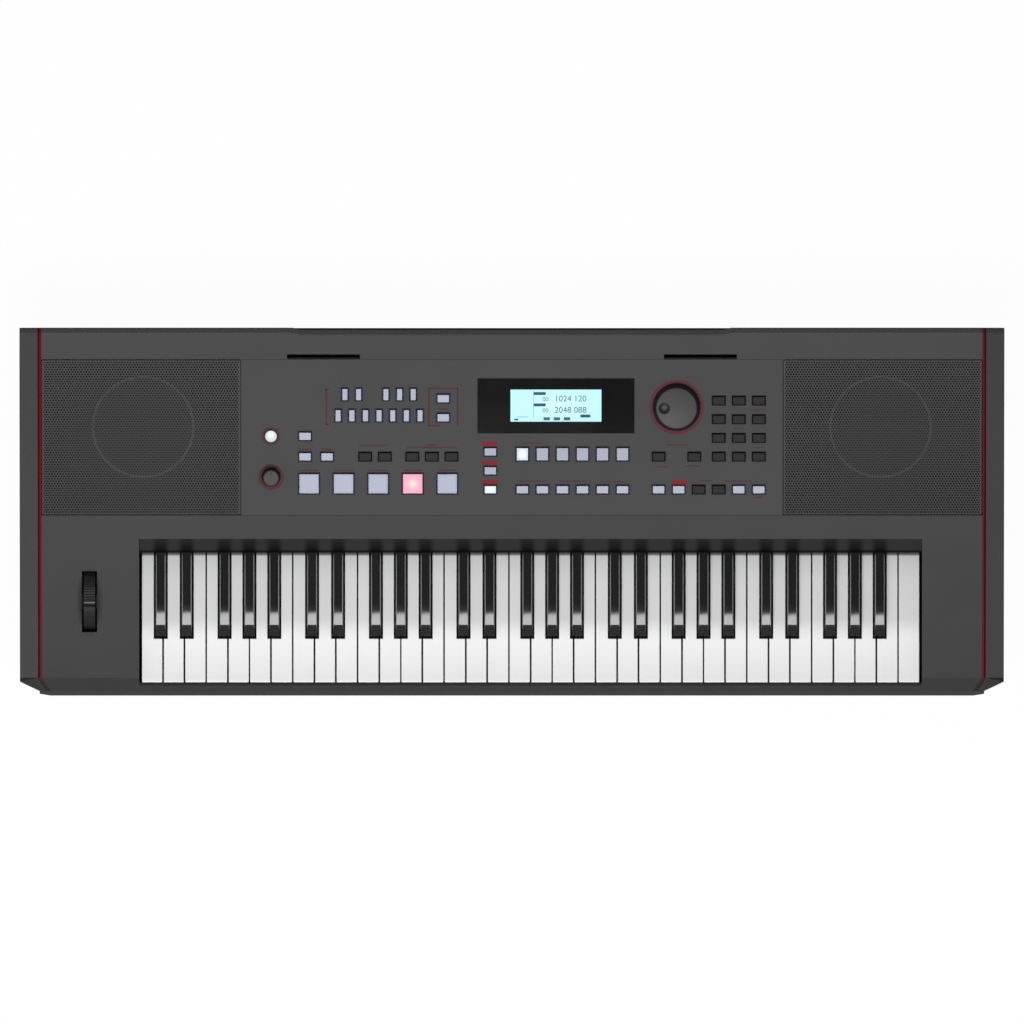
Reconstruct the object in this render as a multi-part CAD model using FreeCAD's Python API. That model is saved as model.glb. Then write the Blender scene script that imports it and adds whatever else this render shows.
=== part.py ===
# Arranger keyboard with sixty-one keys, in millimetres.
# +X runs to the treble end, +Y to the rear and +Z up. The origin is on the table under the middle of the case.
import FreeCAD
import Part
import math
import os

V = FreeCAD.Vector

# Keybed
WHITE_KEYS = 36
KEY_PITCH = 23.5
KEY_GAP = 1.4                 # between neighbouring white keys
KEY_HEAD_SHARE = 0.30417      # of the visible key, in front of the black ones
KEY_HEIGHT = 19.0
KEY_WALL = 1.6
KEY_ROOF = 2.5
KEY_EDGE = 1.0                # chamfer along the front of a white key
KEY_DROP = 6.5                # white key top below the front crease of the cheeks
KEY_OVERHANG = 5.0            # key front ahead of the crease
KEY_TRAVEL = 3.0              # degrees
PIVOT_SETBACK = 37.4          # pivot line behind the rear edge of the key well
PIVOT_RADIUS = 2.5
PIVOT_GAP = 0.1               # pivot bead to the notch that rides on it
KEY_TAIL = 6.0                # key behind its pivot
BLACK_BASE_WIDTH = 12.8
BLACK_TOP_WIDTH = 8.8
BLACK_RISE = 12.0             # black key top above the white ones
BLACK_CHANNEL_SHARE = 0.4     # of the visible black key, hollow from below
BLACK_NOTCH_GAP = 1.1         # between a black key and the white notch round it
BLACK_CROWN_SHARE = 0.205     # of the visible black key, where the top curves down towards the front
BLACK_CROWN_DROP = 2.6
BLACK_NOSE_SHARE = 0.1305     # of the visible black key, its steep front
BLACK_NOSE_DROP = 9.0
OUTER_BLACK_SHIFT = 3.5       # F sharp and A sharp, away from the line between their white keys
INNER_BLACK_SHIFT = 2.4       # C sharp and D sharp

# Case
BASS_CHEEK = 105.9            # end of the case to the key well, bass end
TREBLE_CHEEK = 65.4
WELL_CLEARANCE = 2.35         # outermost key to the cheek
CASE_DEPTH = 400.0
CASE_HEIGHT = 130.0
WALL = 3.0
TRIM_WIDTH = 4.0              # groove for the coloured strip at each end
TRIM_DEPTH = 8.0
TRIM_SINK = 0.4               # strip below the case surface
CAP_WIDTH = 20.0
SHOULDER_DROP = 15.5          # outer edge of an end cap below the case top
CASE_LEAN = 9.0               # how far the case ends lean in towards the parting line
CAP_UNDERCUT = 21.0           # how far an end cap's side leans in
SEAM = 0.3
FOOT_HEIGHT = 8.0
FOOT_LENGTH = 40.0
FOOT_WIDTH = 16.0
FOOT_DRAFT = 1.5
FOOT_INSET_X = 70.0
FOOT_INSET_Y = 45.0
TRAY_HEIGHT = 22.0            # lower case, underside to parting line
TRAY_CORNER_LENGTH = 12.0
TRAY_CORNER_DEPTH = 2.0
FRONT_EDGE_RISE = 4.5         # lowest line of the front above the underside
FRONT_SLOPE_DEPTH = 19.8      # crease to the front edge, in plan
REAR_STRIP_DEPTH = 34.4       # strip behind the control panel, in plan
REAR_STRIP_RISE = 2.5
BEVEL_DEPTH = 5.4
BEVEL_DROP = 5.5
WELL_LEDGE = 25.6             # control panel to the key well, in plan
WELL_STRIP_DEPTH = 14.9       # sloping strip at the rear of the key well
WELL_STRIP_GAP = 1.6          # strip above the black keys
WELL_STRIP_LAP = 3.0          # black key tops behind the front edge of the strip
RAIL_DROP = 30.5              # front rail under the keys, below the crease
REST_SLOT_LENGTH = 79.2
REST_SLOT_SPACING = 409.2
REST_SLOT_WIDTH = 3.0
REST_SLOT_LEAD = 2.4
REST_SLOT_DEPTH = 20.0
REAR_RECESS_LENGTH = 460.0
REAR_RECESS_DEPTH = 2.6
REAR_RECESS_RAMP = 7.6
REAR_RECESS_RISE = 10.0       # bottom of the recess above the parting line
POST_WIDTH = 9.0
POST_INSET_X = 26.0
POST_INSET_REAR = 15.0
FIT = 0.05                    # radial clearance of shafts
ROUND_SIDES = 24              # flat sides of small or hidden round pieces

# Sloping top
PANEL_TILT = 7.4              # degrees
PANEL_LENGTH = 170.8          # along the slope
PANEL_THICKNESS = 3.0
CONTROL_WIDTH = 588.4
SHELF_MARGIN = 12.0           # shelf of the upper case under the edge of the control panel
GRILLE_SHEET = 1.0
GRILLE_RIM = 1.6

# Speakers, placed from the end of the case and along the slope
WOOFER_FROM_END = 110.7
WOOFER_V = 0.5667 * PANEL_LENGTH
WOOFER_WINDOW = 116.0         # square opening in the shelf
WOOFER_FLANGE = 126.0
WOOFER_HOLE = 54.0
WOOFER_DEPTH = 32.0
WOOFER_MAGNET_RADIUS = 36.0
WOOFER_MAGNET_HEIGHT = 18.0
BASKET_SHEET = 3.0
BASKET_LEG = 18.0
CONE_THROAT = 16.0
CONE_DEPTH = 17.0
CONE_BACK = 1.2
CONE_RIM = 2.0                # cone edge lapping over its frame
SURROUND_WIDTH = 7.0
SURROUND_RISE = 1.8
TWEETER_FROM_END = 25.1
TWEETER_FROM_REAR = 22.6
TWEETER_RADIUS = 12.6
TWEETER_WINDOW = 27.0
TWEETER_FLANGE = 33.0
TWEETER_DEPTH = 14.0

# Controls: u is along X and v along the slope from the front edge of the panel
CAP_GAP = 0.5
CAP_HEIGHT = 2.4
CAP_EDGE = 0.6
CAP_FLANGE = 1.2
FLANGE_GAP = 0.2
BUTTON_TRAVEL = 1.2
MAT_WIDTH = 6.0               # rubber switch mat under a row of buttons
MAT_HEIGHT = 4.2
MAT_REACH = 50.0              # longest step between buttons over one mat
BOARD_THICKNESS = 1.6
PILLAR_WIDTH = 6.0
COLUMN_PITCH = 21.75
BUTTON_WIDTH = 13.3
BUTTON_DEPTH = 9.0
TALL_BUTTON_DEPTH = 14.4
STYLE_WIDTH = 6.8
STYLE_DEPTH = 13.2
STYLE_PITCH = 14.83
STYLE_U = -188.7
STYLE_LOWER_V = 0.6405 * PANEL_LENGTH
STYLE_UPPER_V = 0.7758 * PANEL_LENGTH
BANK_U = -74.5
BANK_V = 0.6276 * PANEL_LENGTH
BANK_PITCH = 0.1224 * PANEL_LENGTH
SETUP_U = -224.6
SETUP_PITCH = 23.9
MIDDLE_ROW_V = 0.3770 * PANEL_LENGTH
MIDDLE_PITCH = 21.3
TRANSPORT_U = -159.3
TRANSPORT_SPLIT_U = -108.2
PAD_SIZE = 22.0
PAD_U = -220.3
PAD_V = 0.2043 * PANEL_LENGTH
PAD_PITCH = 37.53
PART_U = -23.4
PART_PITCH = 0.1212 * PANEL_LENGTH
TONE_U = 11.4
TONE_V = 0.3934 * PANEL_LENGTH
FRONT_ROW_V = 0.1663 * PANEL_LENGTH
NUMBER_U = 224.6
NUMBER_PITCH = 0.1197 * PANEL_LENGTH
CURSOR_SPREAD = 38.7
DISPLAY_U = 47.8
DISPLAY_V = 0.7020 * PANEL_LENGTH
DISPLAY_WIDTH = 170.7
DISPLAY_DEPTH = 60.3
DISPLAY_THICKNESS = 1.5
LCD_WIDTH = 98.8
LCD_DEPTH = 35.6
LCD_BEZEL = 8.0
LCD_HEIGHT = 6.0
LCD_SINK = 0.8
DIAL_U = 178.7
DIAL_V = 0.6932 * PANEL_LENGTH
DIAL_RADIUS = 26.0
DIAL_TOP_RADIUS = 21.6
DIAL_HEIGHT = 10.0
DIMPLE_RADIUS = 7.0
DIMPLE_OFFSET = 13.4
DIMPLE_DEPTH = 1.6
DIAL_FLUTES = 32
KNOB_U = -261.6
VOLUME_V = 0.2453 * PANEL_LENGTH
VOLUME_RADIUS = 10.6
VOLUME_TOP_RADIUS = 9.0
VOLUME_HEIGHT = 10.0
VOLUME_FLUTES = 20
POWER_V = 0.5082 * PANEL_LENGTH
POWER_RADIUS = 7.0
SHAFT_RADIUS = 3.0
KNOB_LIFT = 0.6               # underside of a knob above the panel
CONTROL_BODY = 14.0           # square body of a potentiometer or encoder
CONTROL_BODY_HEIGHT = 6.5
SHAFT_TIP_GAP = 1.0

# Pitch wheel
WHEEL_FROM_END = 52.1
WHEEL_SHARE = 0.5312           # place along the cheek, from the panel to the front crease
WHEEL_RADIUS = 35.0
WHEEL_SINK = 24.0             # axle below the case surface
WHEEL_WIDTH = 12.4
WHEEL_SLOT_WIDTH = 16.4
WHEEL_SLOT_LENGTH = 67.0
WHEEL_RIB_PITCH = 2.9
WHEEL_RIB_DEPTH = 0.6
WHEEL_SPAN = 78.0             # degrees of rim to each side of the middle; the rear side is ribbed
WHEEL_FACETS = 10             # flat facets of its plain front side
WHEEL_GROOVE_RADIUS = 6.0
WHEEL_GROOVE_DEPTH = 2.6
EAR_THICKNESS = 3.0
EAR_WIDTH = 16.0
EAR_FOOT = 12.0
EAR_GAP = 0.8                 # wheel to ear

# Keybed frame and its electronics
FRAME_SHEET = 2.0
PIVOT_WEB = 3.0
FRAME_FRONT_SETBACK = 9.2     # front leg behind the key fronts
FELT_DEPTH = 11.0
FELT_THICKNESS = 1.94         # under the white keys
FELT_SETBACK = 26.0           # felt behind the front of the keys that land on it
FELT_CLEARANCE = 0.3
CONTACT_SHARE = 0.2574        # place of the contacts between the rear felt and the pivot
CONTACT_BOARD_SHARE = 0.4085  # depth of their board, of the same space
RUBBER_SHEET = 1.5
RUBBER_STRIP_DEPTH = 12.0
DOME_BASE = 8.0
DOME_TOP = 5.0
DOME_GAP = 0.3

# Boards and sockets at the rear
MAIN_BOARD_LENGTH = 260.0
MAIN_BOARD_DEPTH = 110.0
MAIN_BOARD_LIFT = 9.0
MAIN_BOARD_INSET = 40.0       # from the rear face
SINK_LENGTH = 60.0
SINK_HEIGHT = 18.0
SINK_FIN = 2.0
SINK_FINS = 6
JACK_WINDOW_LENGTH = 340.0
JACK_WINDOW_HEIGHT = 34.0
JACK_ROW_RISE = 46.0          # middle of the sockets above the parting line
JACK_LAP = 5.0                # jack panel behind the edge of its window
JACK_PANEL = 2.5
JACK_PITCH = 26.0
JACK_FIRST_X = -118.0
AUDIO_JACKS = 3
JACK_SIZE = 15.0
JACK_LENGTH = 26.0
JACK_BORE = 3.25
JACK_BORE_DEPTH = 20.0
JACK_SINK = 0.8               # socket faces below the rear of the case
USB_X = 40.0
USB_A_SIZE = (15.0, 7.6)
USB_A_TONGUE = (11.4, 1.8)
USB_B_SIZE = (12.4, 11.2)
USB_B_TONGUE = (5.6, 3.2)
USB_SHEET = 1.0
USB_DEPTH = 12.0
USB_PITCH = 32.0
INLET_X = 130.0
INLET_SIZE = 11.0
INLET_BORE = 3.2
INLET_PIN = 1.0
INLET_DEPTH = 10.0
SOCKET_GAP = 0.2

# Values that follow from the sizes above
TILT = math.radians(PANEL_TILT)
KEYBED_LENGTH = WHITE_KEYS * KEY_PITCH
BODY_LENGTH = BASS_CHEEK + KEYBED_LENGTH + 2 * WELL_CLEARANCE + TREBLE_CHEEK
BODY_HALF = BODY_LENGTH / 2
CAP_START = BODY_HALF + TRIM_WIDTH
CASE_HALF = CAP_START + CAP_WIDTH
SPAN = 2 * CASE_HALF
FRONT_Y = -CASE_DEPTH / 2
REAR_Y = CASE_DEPTH / 2
UNDERSIDE_Z = FOOT_HEIGHT
FLOOR_Z = UNDERSIDE_Z + WALL
PARTING_Z = UNDERSIDE_Z + TRAY_HEIGHT
FRONT_EDGE_Z = UNDERSIDE_Z + FRONT_EDGE_RISE
PANEL_REAR_Y = REAR_Y - REAR_STRIP_DEPTH
PANEL_REAR_Z = CASE_HEIGHT - REAR_STRIP_RISE
PANEL_FRONT_Y = PANEL_REAR_Y - PANEL_LENGTH * math.cos(TILT)
PANEL_FRONT_Z = PANEL_REAR_Z - PANEL_LENGTH * math.sin(TILT)
BEVEL_Y = REAR_Y - BEVEL_DEPTH
REAR_EDGE_Z = CASE_HEIGHT - BEVEL_DROP
CREASE_Y = FRONT_Y + FRONT_SLOPE_DEPTH
WELL_REAR_Y = PANEL_FRONT_Y - WELL_LEDGE
WELL_STRIP_Y = WELL_REAR_Y - WELL_STRIP_DEPTH
WELL_LEFT = -BODY_HALF + BASS_CHEEK
WELL_RIGHT = BODY_HALF - TREBLE_CHEEK
KEYS_LEFT = WELL_LEFT + WELL_CLEARANCE
KEYS_RIGHT = KEYS_LEFT + KEYBED_LENGTH
CONTROL_HALF = CONTROL_WIDTH / 2
SHELF_W = -PANEL_THICKNESS - WALL
PANEL_PLACE = FreeCAD.Placement(V(0, PANEL_FRONT_Y, PANEL_FRONT_Z), FreeCAD.Rotation(V(1, 0, 0), PANEL_TILT))


def top_z(y):
    """Height of the sloping top at a depth y."""
    return PANEL_REAR_Z + (y - PANEL_REAR_Y) * math.tan(TILT)


CREASE_Z = top_z(CREASE_Y)
RAIL_Z = CREASE_Z - RAIL_DROP
FRONT_RUN = FRONT_SLOPE_DEPTH / (CREASE_Z - FRONT_EDGE_Z)
WHITE_TOP = CREASE_Z - KEY_DROP
WHITE_BOTTOM = WHITE_TOP - KEY_HEIGHT
PIVOT_Z = WHITE_BOTTOM
ROOF_Z = WHITE_TOP - KEY_ROOF
BLACK_TOP = WHITE_TOP + BLACK_RISE
KEY_FRONT_Y = CREASE_Y - KEY_OVERHANG
NOTCH_Y = KEY_FRONT_Y + KEY_HEAD_SHARE * (WELL_REAR_Y - KEY_FRONT_Y)
BLACK_FRONT_Y = NOTCH_Y + BLACK_NOTCH_GAP
BLACK_LENGTH = WELL_REAR_Y - BLACK_FRONT_Y
BLACK_NOSE_LENGTH = BLACK_NOSE_SHARE * BLACK_LENGTH
PIVOT_Y = WELL_REAR_Y + PIVOT_SETBACK
KEY_REAR_Y = PIVOT_Y + KEY_TAIL
FELT_STARTS = (KEY_FRONT_Y + FELT_SETBACK, BLACK_FRONT_Y + FELT_SETBACK)
FELT_TOPS = [WHITE_BOTTOM - FELT_CLEARANCE - (PIVOT_Y - y) * math.tan(math.radians(KEY_TRAVEL)) for y in FELT_STARTS]
PLATE_Z = FELT_TOPS[0] - FELT_THICKNESS
CONTACT_SPACE = PIVOT_Y - FELT_STARTS[1] - FELT_DEPTH
CONTACT_Y = PIVOT_Y - (1 - CONTACT_SHARE) * CONTACT_SPACE
FLANGE_W = -PANEL_THICKNESS - FLANGE_GAP - CAP_FLANGE
BOARD_W = FLANGE_W - BUTTON_TRAVEL - SEAM - MAT_HEIGHT
JACK_Z = PARTING_Z + JACK_ROW_RISE
JACK_SEAT_Y = REAR_Y - REAR_RECESS_DEPTH - WALL
JACK_FACE_Y = REAR_Y - REAR_RECESS_DEPTH - JACK_SINK
OCTAVE = 7 * KEY_PITCH
BLACK_PLACES = {
    "c_sharp": KEY_PITCH - INNER_BLACK_SHIFT,
    "d_sharp": 2 * KEY_PITCH + INNER_BLACK_SHIFT,
    "f_sharp": 4 * KEY_PITCH - OUTER_BLACK_SHIFT,
    "g_sharp": 5 * KEY_PITCH,
    "a_sharp": 6 * KEY_PITCH + OUTER_BLACK_SHIFT,
}
WHITE_NAMES = ("c", "d", "e", "f", "g", "a", "b")
OCTAVES = WHITE_KEYS // len(WHITE_NAMES)


def front_y(z):
    """Depth of the sloping front at a height z."""
    return FRONT_Y + (z - FRONT_EDGE_Z) * FRONT_RUN


def face(points):
    """Flat face inside a closed outline."""
    return Part.Face(Part.makePolygon(points + points[:1]))


def box(x0, x1, y0, y1, z0, z1):
    """Block between two corners."""
    return Part.makeBox(x1 - x0, y1 - y0, z1 - z0, V(x0, y0, z0))


def prism_x(outline, x0, x1):
    """Outline of (y, z) points drawn out along X."""
    return face([V(x0, y, z) for y, z in outline]).extrude(V(x1 - x0, 0, 0))


def prism_y(outline, y0, y1):
    """Outline of (x, z) points drawn out along Y."""
    return face([V(x, y0, z) for x, z in outline]).extrude(V(0, y1 - y0, 0))


def prism_z(outline, z0, z1):
    """Outline of (x, y) points drawn out along Z."""
    return face([V(x, y, z0) for x, y in outline]).extrude(V(0, 0, z1 - z0))


def rod(radius, z0, z1, x=0.0, y=0.0):
    """Upright cylinder."""
    return Part.makeCylinder(radius, z1 - z0, V(x, y, z0))


def rod_x(radius, x0, x1, y, z):
    """Cylinder along X."""
    return Part.makeCylinder(radius, x1 - x0, V(x0, y, z), V(1, 0, 0))


def rod_y(radius, y0, y1, x, z):
    """Cylinder along Y."""
    return Part.makeCylinder(radius, y1 - y0, V(x, y0, z), V(0, 1, 0))


def stacked(rings):
    """Solid with flat sides through rings of points, lowest first."""
    faces = [face(rings[0]), face(rings[-1])]
    for low, high in zip(rings, rings[1:]):
        faces += [face([low[index - 1], low[index], high[index], high[index - 1]]) for index in range(len(low))]
    shell = Part.makeShell(faces)
    shell.sewShape()
    solid = Part.makeSolid(shell)
    return solid if solid.Volume > 0 else solid.reversed()


def fluted(radius, z, flutes):
    """Corners of a ring with flat flutes round the Z axis."""
    turns = [2 * math.pi * index / flutes for index in range(flutes)]
    return [V(radius * math.cos(turn), radius * math.sin(turn), z) for turn in turns]


def many_sided(radius, z0, z1):
    """Small or hidden round bar, made with flat sides."""
    return stacked([fluted(radius, z0, ROUND_SIDES), fluted(radius, z1, ROUND_SIDES)])


def rectangle(width, depth, z):
    """Corners of a rectangle round the Z axis."""
    w = width / 2
    d = depth / 2
    return [V(-w, -d, z), V(w, -d, z), V(w, d, z), V(-w, d, z)]


def frustum(width, depth, z0, top_width, top_depth, z1):
    """Block whose top differs from its base."""
    return stacked([rectangle(width, depth, z0), rectangle(top_width, top_depth, z1)])


def slab(width, depth, z0, z1):
    """Block round the Z axis."""
    return box(-width / 2, width / 2, -depth / 2, depth / 2, z0, z1)


def moved(shape, x=0.0, y=0.0, z=0.0):
    """Copy shifted by an offset."""
    return shape.translated(V(x, y, z))


def mirrored(shape):
    """Copy on the other end of the case."""
    return shape.mirror(V(0, 0, 0), V(1, 0, 0))


def fused(shapes):
    """One solid from several, with merged faces."""
    return shapes[0].multiFuse(shapes[1:]).removeSplitter()


def on_panel(shape, u=0.0, v=0.0):
    """Shape drawn flat round the origin, set on the sloping top at (u, v)."""
    placed = shape.translated(V(u, v, 0))
    placed.Placement = PANEL_PLACE.multiply(placed.Placement)
    return placed


def save(name, shapes):
    """Write one sub-part."""
    shape = shapes[0] if len(shapes) == 1 else Part.makeCompound(shapes)
    shape.exportStep(f"parts/{name}.step")


# Case shells

def flared(near, far, near_drop=0.0, far_drop=0.0, base_z=PARTING_Z, inset=0.0):
    """Block under the line of the case top, whose two ends lean; near and far are (x at top, x at base)."""
    line = [
        (FRONT_Y, top_z(FRONT_Y) - inset),
        (PANEL_REAR_Y, PANEL_REAR_Z - inset),
        (BEVEL_Y - inset, CASE_HEIGHT - inset),
        (REAR_Y - inset, REAR_EDGE_Z - inset),
    ]
    sections = []
    for y, z in line:
        corners = [V(near[1], y, base_z), V(far[1], y, base_z), V(far[0], y, z - far_drop)]
        corners.append(V(near[0], y, z - near_drop))
        sections.append(Part.makePolygon(corners + corners[:1]))
    return Part.makeLoft(sections, True, True)


def front_cutter(inset):
    """Everything ahead of the sloping front, moved back by an inset."""
    shift = inset * math.hypot(1, FRONT_RUN)
    top = 2 * CASE_HEIGHT
    outline = [(front_y(0) + shift, 0), (front_y(top) + shift, top), (-SPAN, top), (-SPAN, 0)]
    return prism_x(outline, -SPAN, SPAN)


def post_places():
    """Where screws join the two halves of the case."""
    rear = REAR_Y - POST_INSET_REAR
    end = BODY_HALF - CASE_LEAN - POST_INSET_X
    places = [(x, rear) for x in (-end, -0.6 * end, 0.0, 0.6 * end, end)]
    for y in (CREASE_Y + POST_INSET_X, PANEL_FRONT_Y - WELL_LEDGE / 2):
        places += [(-end, y), (end, y)]
    return places


def rear_recess():
    """Shallow bay in the rear of the case, with ramped ends."""
    half = REAR_RECESS_LENGTH / 2
    floor_y = REAR_Y - REAR_RECESS_DEPTH
    bevel = BEVEL_Y - REAR_RECESS_DEPTH
    low = PARTING_Z + REAR_RECESS_RISE
    high = CASE_HEIGHT + WALL
    far = REAR_Y + WALL
    outline = [(floor_y, low), (floor_y, REAR_EDGE_Z), (bevel, CASE_HEIGHT), (bevel, high), (far, high), (far, low)]
    middle = prism_x(outline, -half, half)
    ramp = V(REAR_RECESS_RAMP, REAR_RECESS_DEPTH, 0)
    right = face([V(half, y, z) for y, z in outline]).extrude(ramp)
    return [middle, right, mirrored(right)]


def rest_slot(wall):
    """Socket for a music rest, with a sloping lead at the front; wall is added all round for its sleeve."""
    half = REST_SLOT_LENGTH / 2 + wall
    rear = PANEL_REAR_Y + REST_SLOT_LEAD + REST_SLOT_WIDTH
    deep = PANEL_REAR_Z - REST_SLOT_DEPTH - wall
    front = PANEL_REAR_Y + REST_SLOT_LEAD - wall
    lead_z = PANEL_REAR_Z - 2 * REST_SLOT_LEAD
    high = CASE_HEIGHT + WALL
    if wall:
        outline = [(front, deep), (front, high), (rear + wall, high), (rear + wall, deep)]
    else:
        lead_y = PANEL_REAR_Y + SEAM
        outline = [(front, deep), (front, lead_z), (lead_y, PANEL_REAR_Z), (lead_y, high), (rear, high), (rear, deep)]
    return [moved(prism_x(outline, -half, half), x=side * REST_SLOT_SPACING / 2) for side in (-1, 1)]


def speaker_places():
    """Woofer and tweeter centres on the treble side, as (u, v)."""
    woofer = (BODY_HALF - WOOFER_FROM_END, WOOFER_V)
    tweeter = (BODY_HALF - TWEETER_FROM_END, PANEL_LENGTH - TWEETER_FROM_REAR)
    return woofer, tweeter


def wheel_place():
    """Pitch wheel centre on the sloping top, as (u, v)."""
    return -BODY_HALF + WHEEL_FROM_END, WHEEL_SHARE * (CREASE_Y - PANEL_FRONT_Y) / math.cos(TILT)


def upper_case():
    """Moulded top shell: sloping deck, cheeks, front rail, shelf for the panel and grilles, rear wall."""
    base = BODY_HALF - CASE_LEAN
    outer = flared((-BODY_HALF, -base), (BODY_HALF, base)).cut(front_cutter(0))
    inner_top = BODY_HALF - WALL
    inner_base = base - WALL
    hollow = flared((-inner_top, -inner_base), (inner_top, inner_base), base_z=PARTING_Z - WALL, inset=WALL)
    hollow = hollow.cut(front_cutter(WALL))
    additions = [on_panel(box(-SPAN, SPAN, -WALL, PANEL_LENGTH + WALL, SHELF_W, 0))]
    post = slab(POST_WIDTH, POST_WIDTH, PARTING_Z, CASE_HEIGHT)
    additions += [moved(post, x, y) for x, y in post_places()]
    additions += rest_slot(WALL)
    for x in (WELL_LEFT - WALL, WELL_RIGHT):
        additions.append(box(x, x + WALL, FRONT_Y, WELL_REAR_Y, PARTING_Z + WALL, CASE_HEIGHT))
    thick = REAR_RECESS_LENGTH / 2 + REAR_RECESS_RAMP + WALL
    additions.append(box(-thick, thick, JACK_SEAT_Y, REAR_Y, PARTING_Z, CASE_HEIGHT))
    shell = outer.cut(hollow).multiFuse([piece.common(outer) for piece in additions])
    edge = CONTROL_HALF - SHELF_MARGIN
    cutters = [on_panel(box(-SPAN, SPAN, 0, PANEL_LENGTH, -PANEL_THICKNESS, CASE_HEIGHT))]
    opening = box(-edge, edge, SHELF_MARGIN, PANEL_LENGTH - SHELF_MARGIN, SHELF_W - WALL, 0)
    cutters.append(on_panel(opening))
    woofer, tweeter = speaker_places()
    for place, size in ((woofer, WOOFER_WINDOW), (tweeter, TWEETER_WINDOW)):
        cutters += both_sides(slab(size, size, SHELF_W - WALL, 0), place)
    cutters.append(box(WELL_LEFT, WELL_RIGHT, -SPAN, WELL_REAR_Y, RAIL_Z, SPAN))
    cutters.append(on_panel(slab(WHEEL_SLOT_WIDTH, WHEEL_SLOT_LENGTH, -2 * WALL, WALL), *wheel_place()))
    cutters += rest_slot(0)
    cutters += rear_recess()
    half = JACK_WINDOW_LENGTH / 2
    height = JACK_WINDOW_HEIGHT / 2
    cutters.append(box(-half, half, JACK_SEAT_Y - WALL, REAR_Y, JACK_Z - height, JACK_Z + height))
    return shell.cut(cutters).removeSplitter()


def lower_case():
    """Moulded tray with a sloping front, rails under the case ends, screw bosses and ribs."""
    half = CAP_START + CAP_WIDTH - CAP_UNDERCUT
    corner_x = half - TRAY_CORNER_LENGTH
    corner_y = FRONT_Y + TRAY_CORNER_DEPTH
    plan = [(-corner_x, FRONT_Y), (corner_x, FRONT_Y), (half, corner_y), (half, REAR_Y), (-half, REAR_Y)]
    plan.append((-half, corner_y))
    outer = prism_z(plan, UNDERSIDE_Z, PARTING_Z).cut(front_cutter(0))
    chin = [(FRONT_Y, UNDERSIDE_Z), (FRONT_Y, FRONT_EDGE_Z), (FRONT_Y + FRONT_EDGE_RISE, UNDERSIDE_Z)]
    heel = [(-y, z) for y, z in chin]
    outer = outer.cut([prism_x(chin, -SPAN, SPAN), prism_x(heel, -SPAN, SPAN)])
    inside = half - WALL
    hollow = box(-inside, inside, FRONT_Y + WALL, REAR_Y - WALL, FLOOR_Z, PARTING_Z + WALL)
    tray = outer.cut(hollow.cut(front_cutter(WALL)))
    rail = BODY_HALF - CASE_LEAN - WALL
    rail_end = FRONT_SLOPE_DEPTH / 2
    additions = []
    for side in (-1, 1):
        ends = sorted((side * (rail - SEAM), side * (rail + WALL + 1)))
        additions.append(box(*ends, FRONT_Y + rail_end, REAR_Y - rail_end, FLOOR_Z, PARTING_Z))
    post = slab(POST_WIDTH, POST_WIDTH, FLOOR_Z, PARTING_Z)
    additions += [moved(post, x, y) for x, y in post_places()]
    for share in (0.3, 0.6):
        y = KEY_FRONT_Y + share * (PIVOT_Y - KEY_FRONT_Y)
        additions.append(box(KEYS_LEFT, KEYS_RIGHT, y, y + WALL, FLOOR_Z, FLOOR_Z + MAIN_BOARD_LIFT))
    pillar = slab(PILLAR_WIDTH, PILLAR_WIDTH, FLOOR_Z, FLOOR_Z + MAIN_BOARD_LIFT)
    additions += [moved(pillar, x, y) for x, y in main_board_posts()]
    return tray.multiFuse(additions).removeSplitter()


def end_cap():
    """Treble end cap: wing with a falling top and an undercut side."""
    inner = (CAP_START, CAP_START - CASE_LEAN)
    outer = (CASE_HALF, CASE_HALF - CAP_UNDERCUT)
    return flared(inner, outer, 2 * TRIM_SINK, SHOULDER_DROP).cut(front_cutter(0))


def trim_strip():
    """Treble coloured strip, bent over the top, front and rear between the case and the end cap."""
    inner = (BODY_HALF + SEAM, BODY_HALF - CASE_LEAN + SEAM)
    outer = (CAP_START - SEAM, CAP_START - CASE_LEAN - SEAM)
    band = flared(inner, outer, TRIM_SINK, 3 * TRIM_SINK).cut(front_cutter(TRIM_SINK))
    core = flared((BODY_HALF - CASE_LEAN - WALL,) * 2, (CASE_HALF,) * 2, base_z=0, inset=TRIM_DEPTH)
    return band.cut(core.cut(front_cutter(TRIM_DEPTH)))


def key_well_strip():
    """Dark sloping strip that closes the rear of the key well above the keys."""
    top = top_z(WELL_REAR_Y) - WALL
    low = BLACK_TOP + WELL_STRIP_GAP
    rear = WELL_REAR_Y + 2 * WALL
    outline = [(WELL_STRIP_Y, low + KEY_ROOF), (WELL_REAR_Y, top), (rear, top_z(rear) - WALL - SEAM)]
    outline += [(rear, top_z(rear) - WALL - SEAM - KEY_ROOF), (WELL_REAR_Y, top - KEY_ROOF), (WELL_STRIP_Y, low)]
    return prism_x(outline, WELL_LEFT + SEAM, WELL_RIGHT - SEAM)


def rubber_feet():
    """Four long rubber feet with drafted sides."""
    draft = 2 * FOOT_DRAFT
    foot = frustum(FOOT_LENGTH - draft, FOOT_WIDTH - draft, 0, FOOT_LENGTH, FOOT_WIDTH, FOOT_HEIGHT)
    x = CASE_HALF - FOOT_INSET_X
    y = CASE_DEPTH / 2 - FOOT_INSET_Y
    return [moved(foot, sx * x, sy * y) for sx in (-1, 1) for sy in (-1, 1)]


# Grilles and speakers

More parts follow.
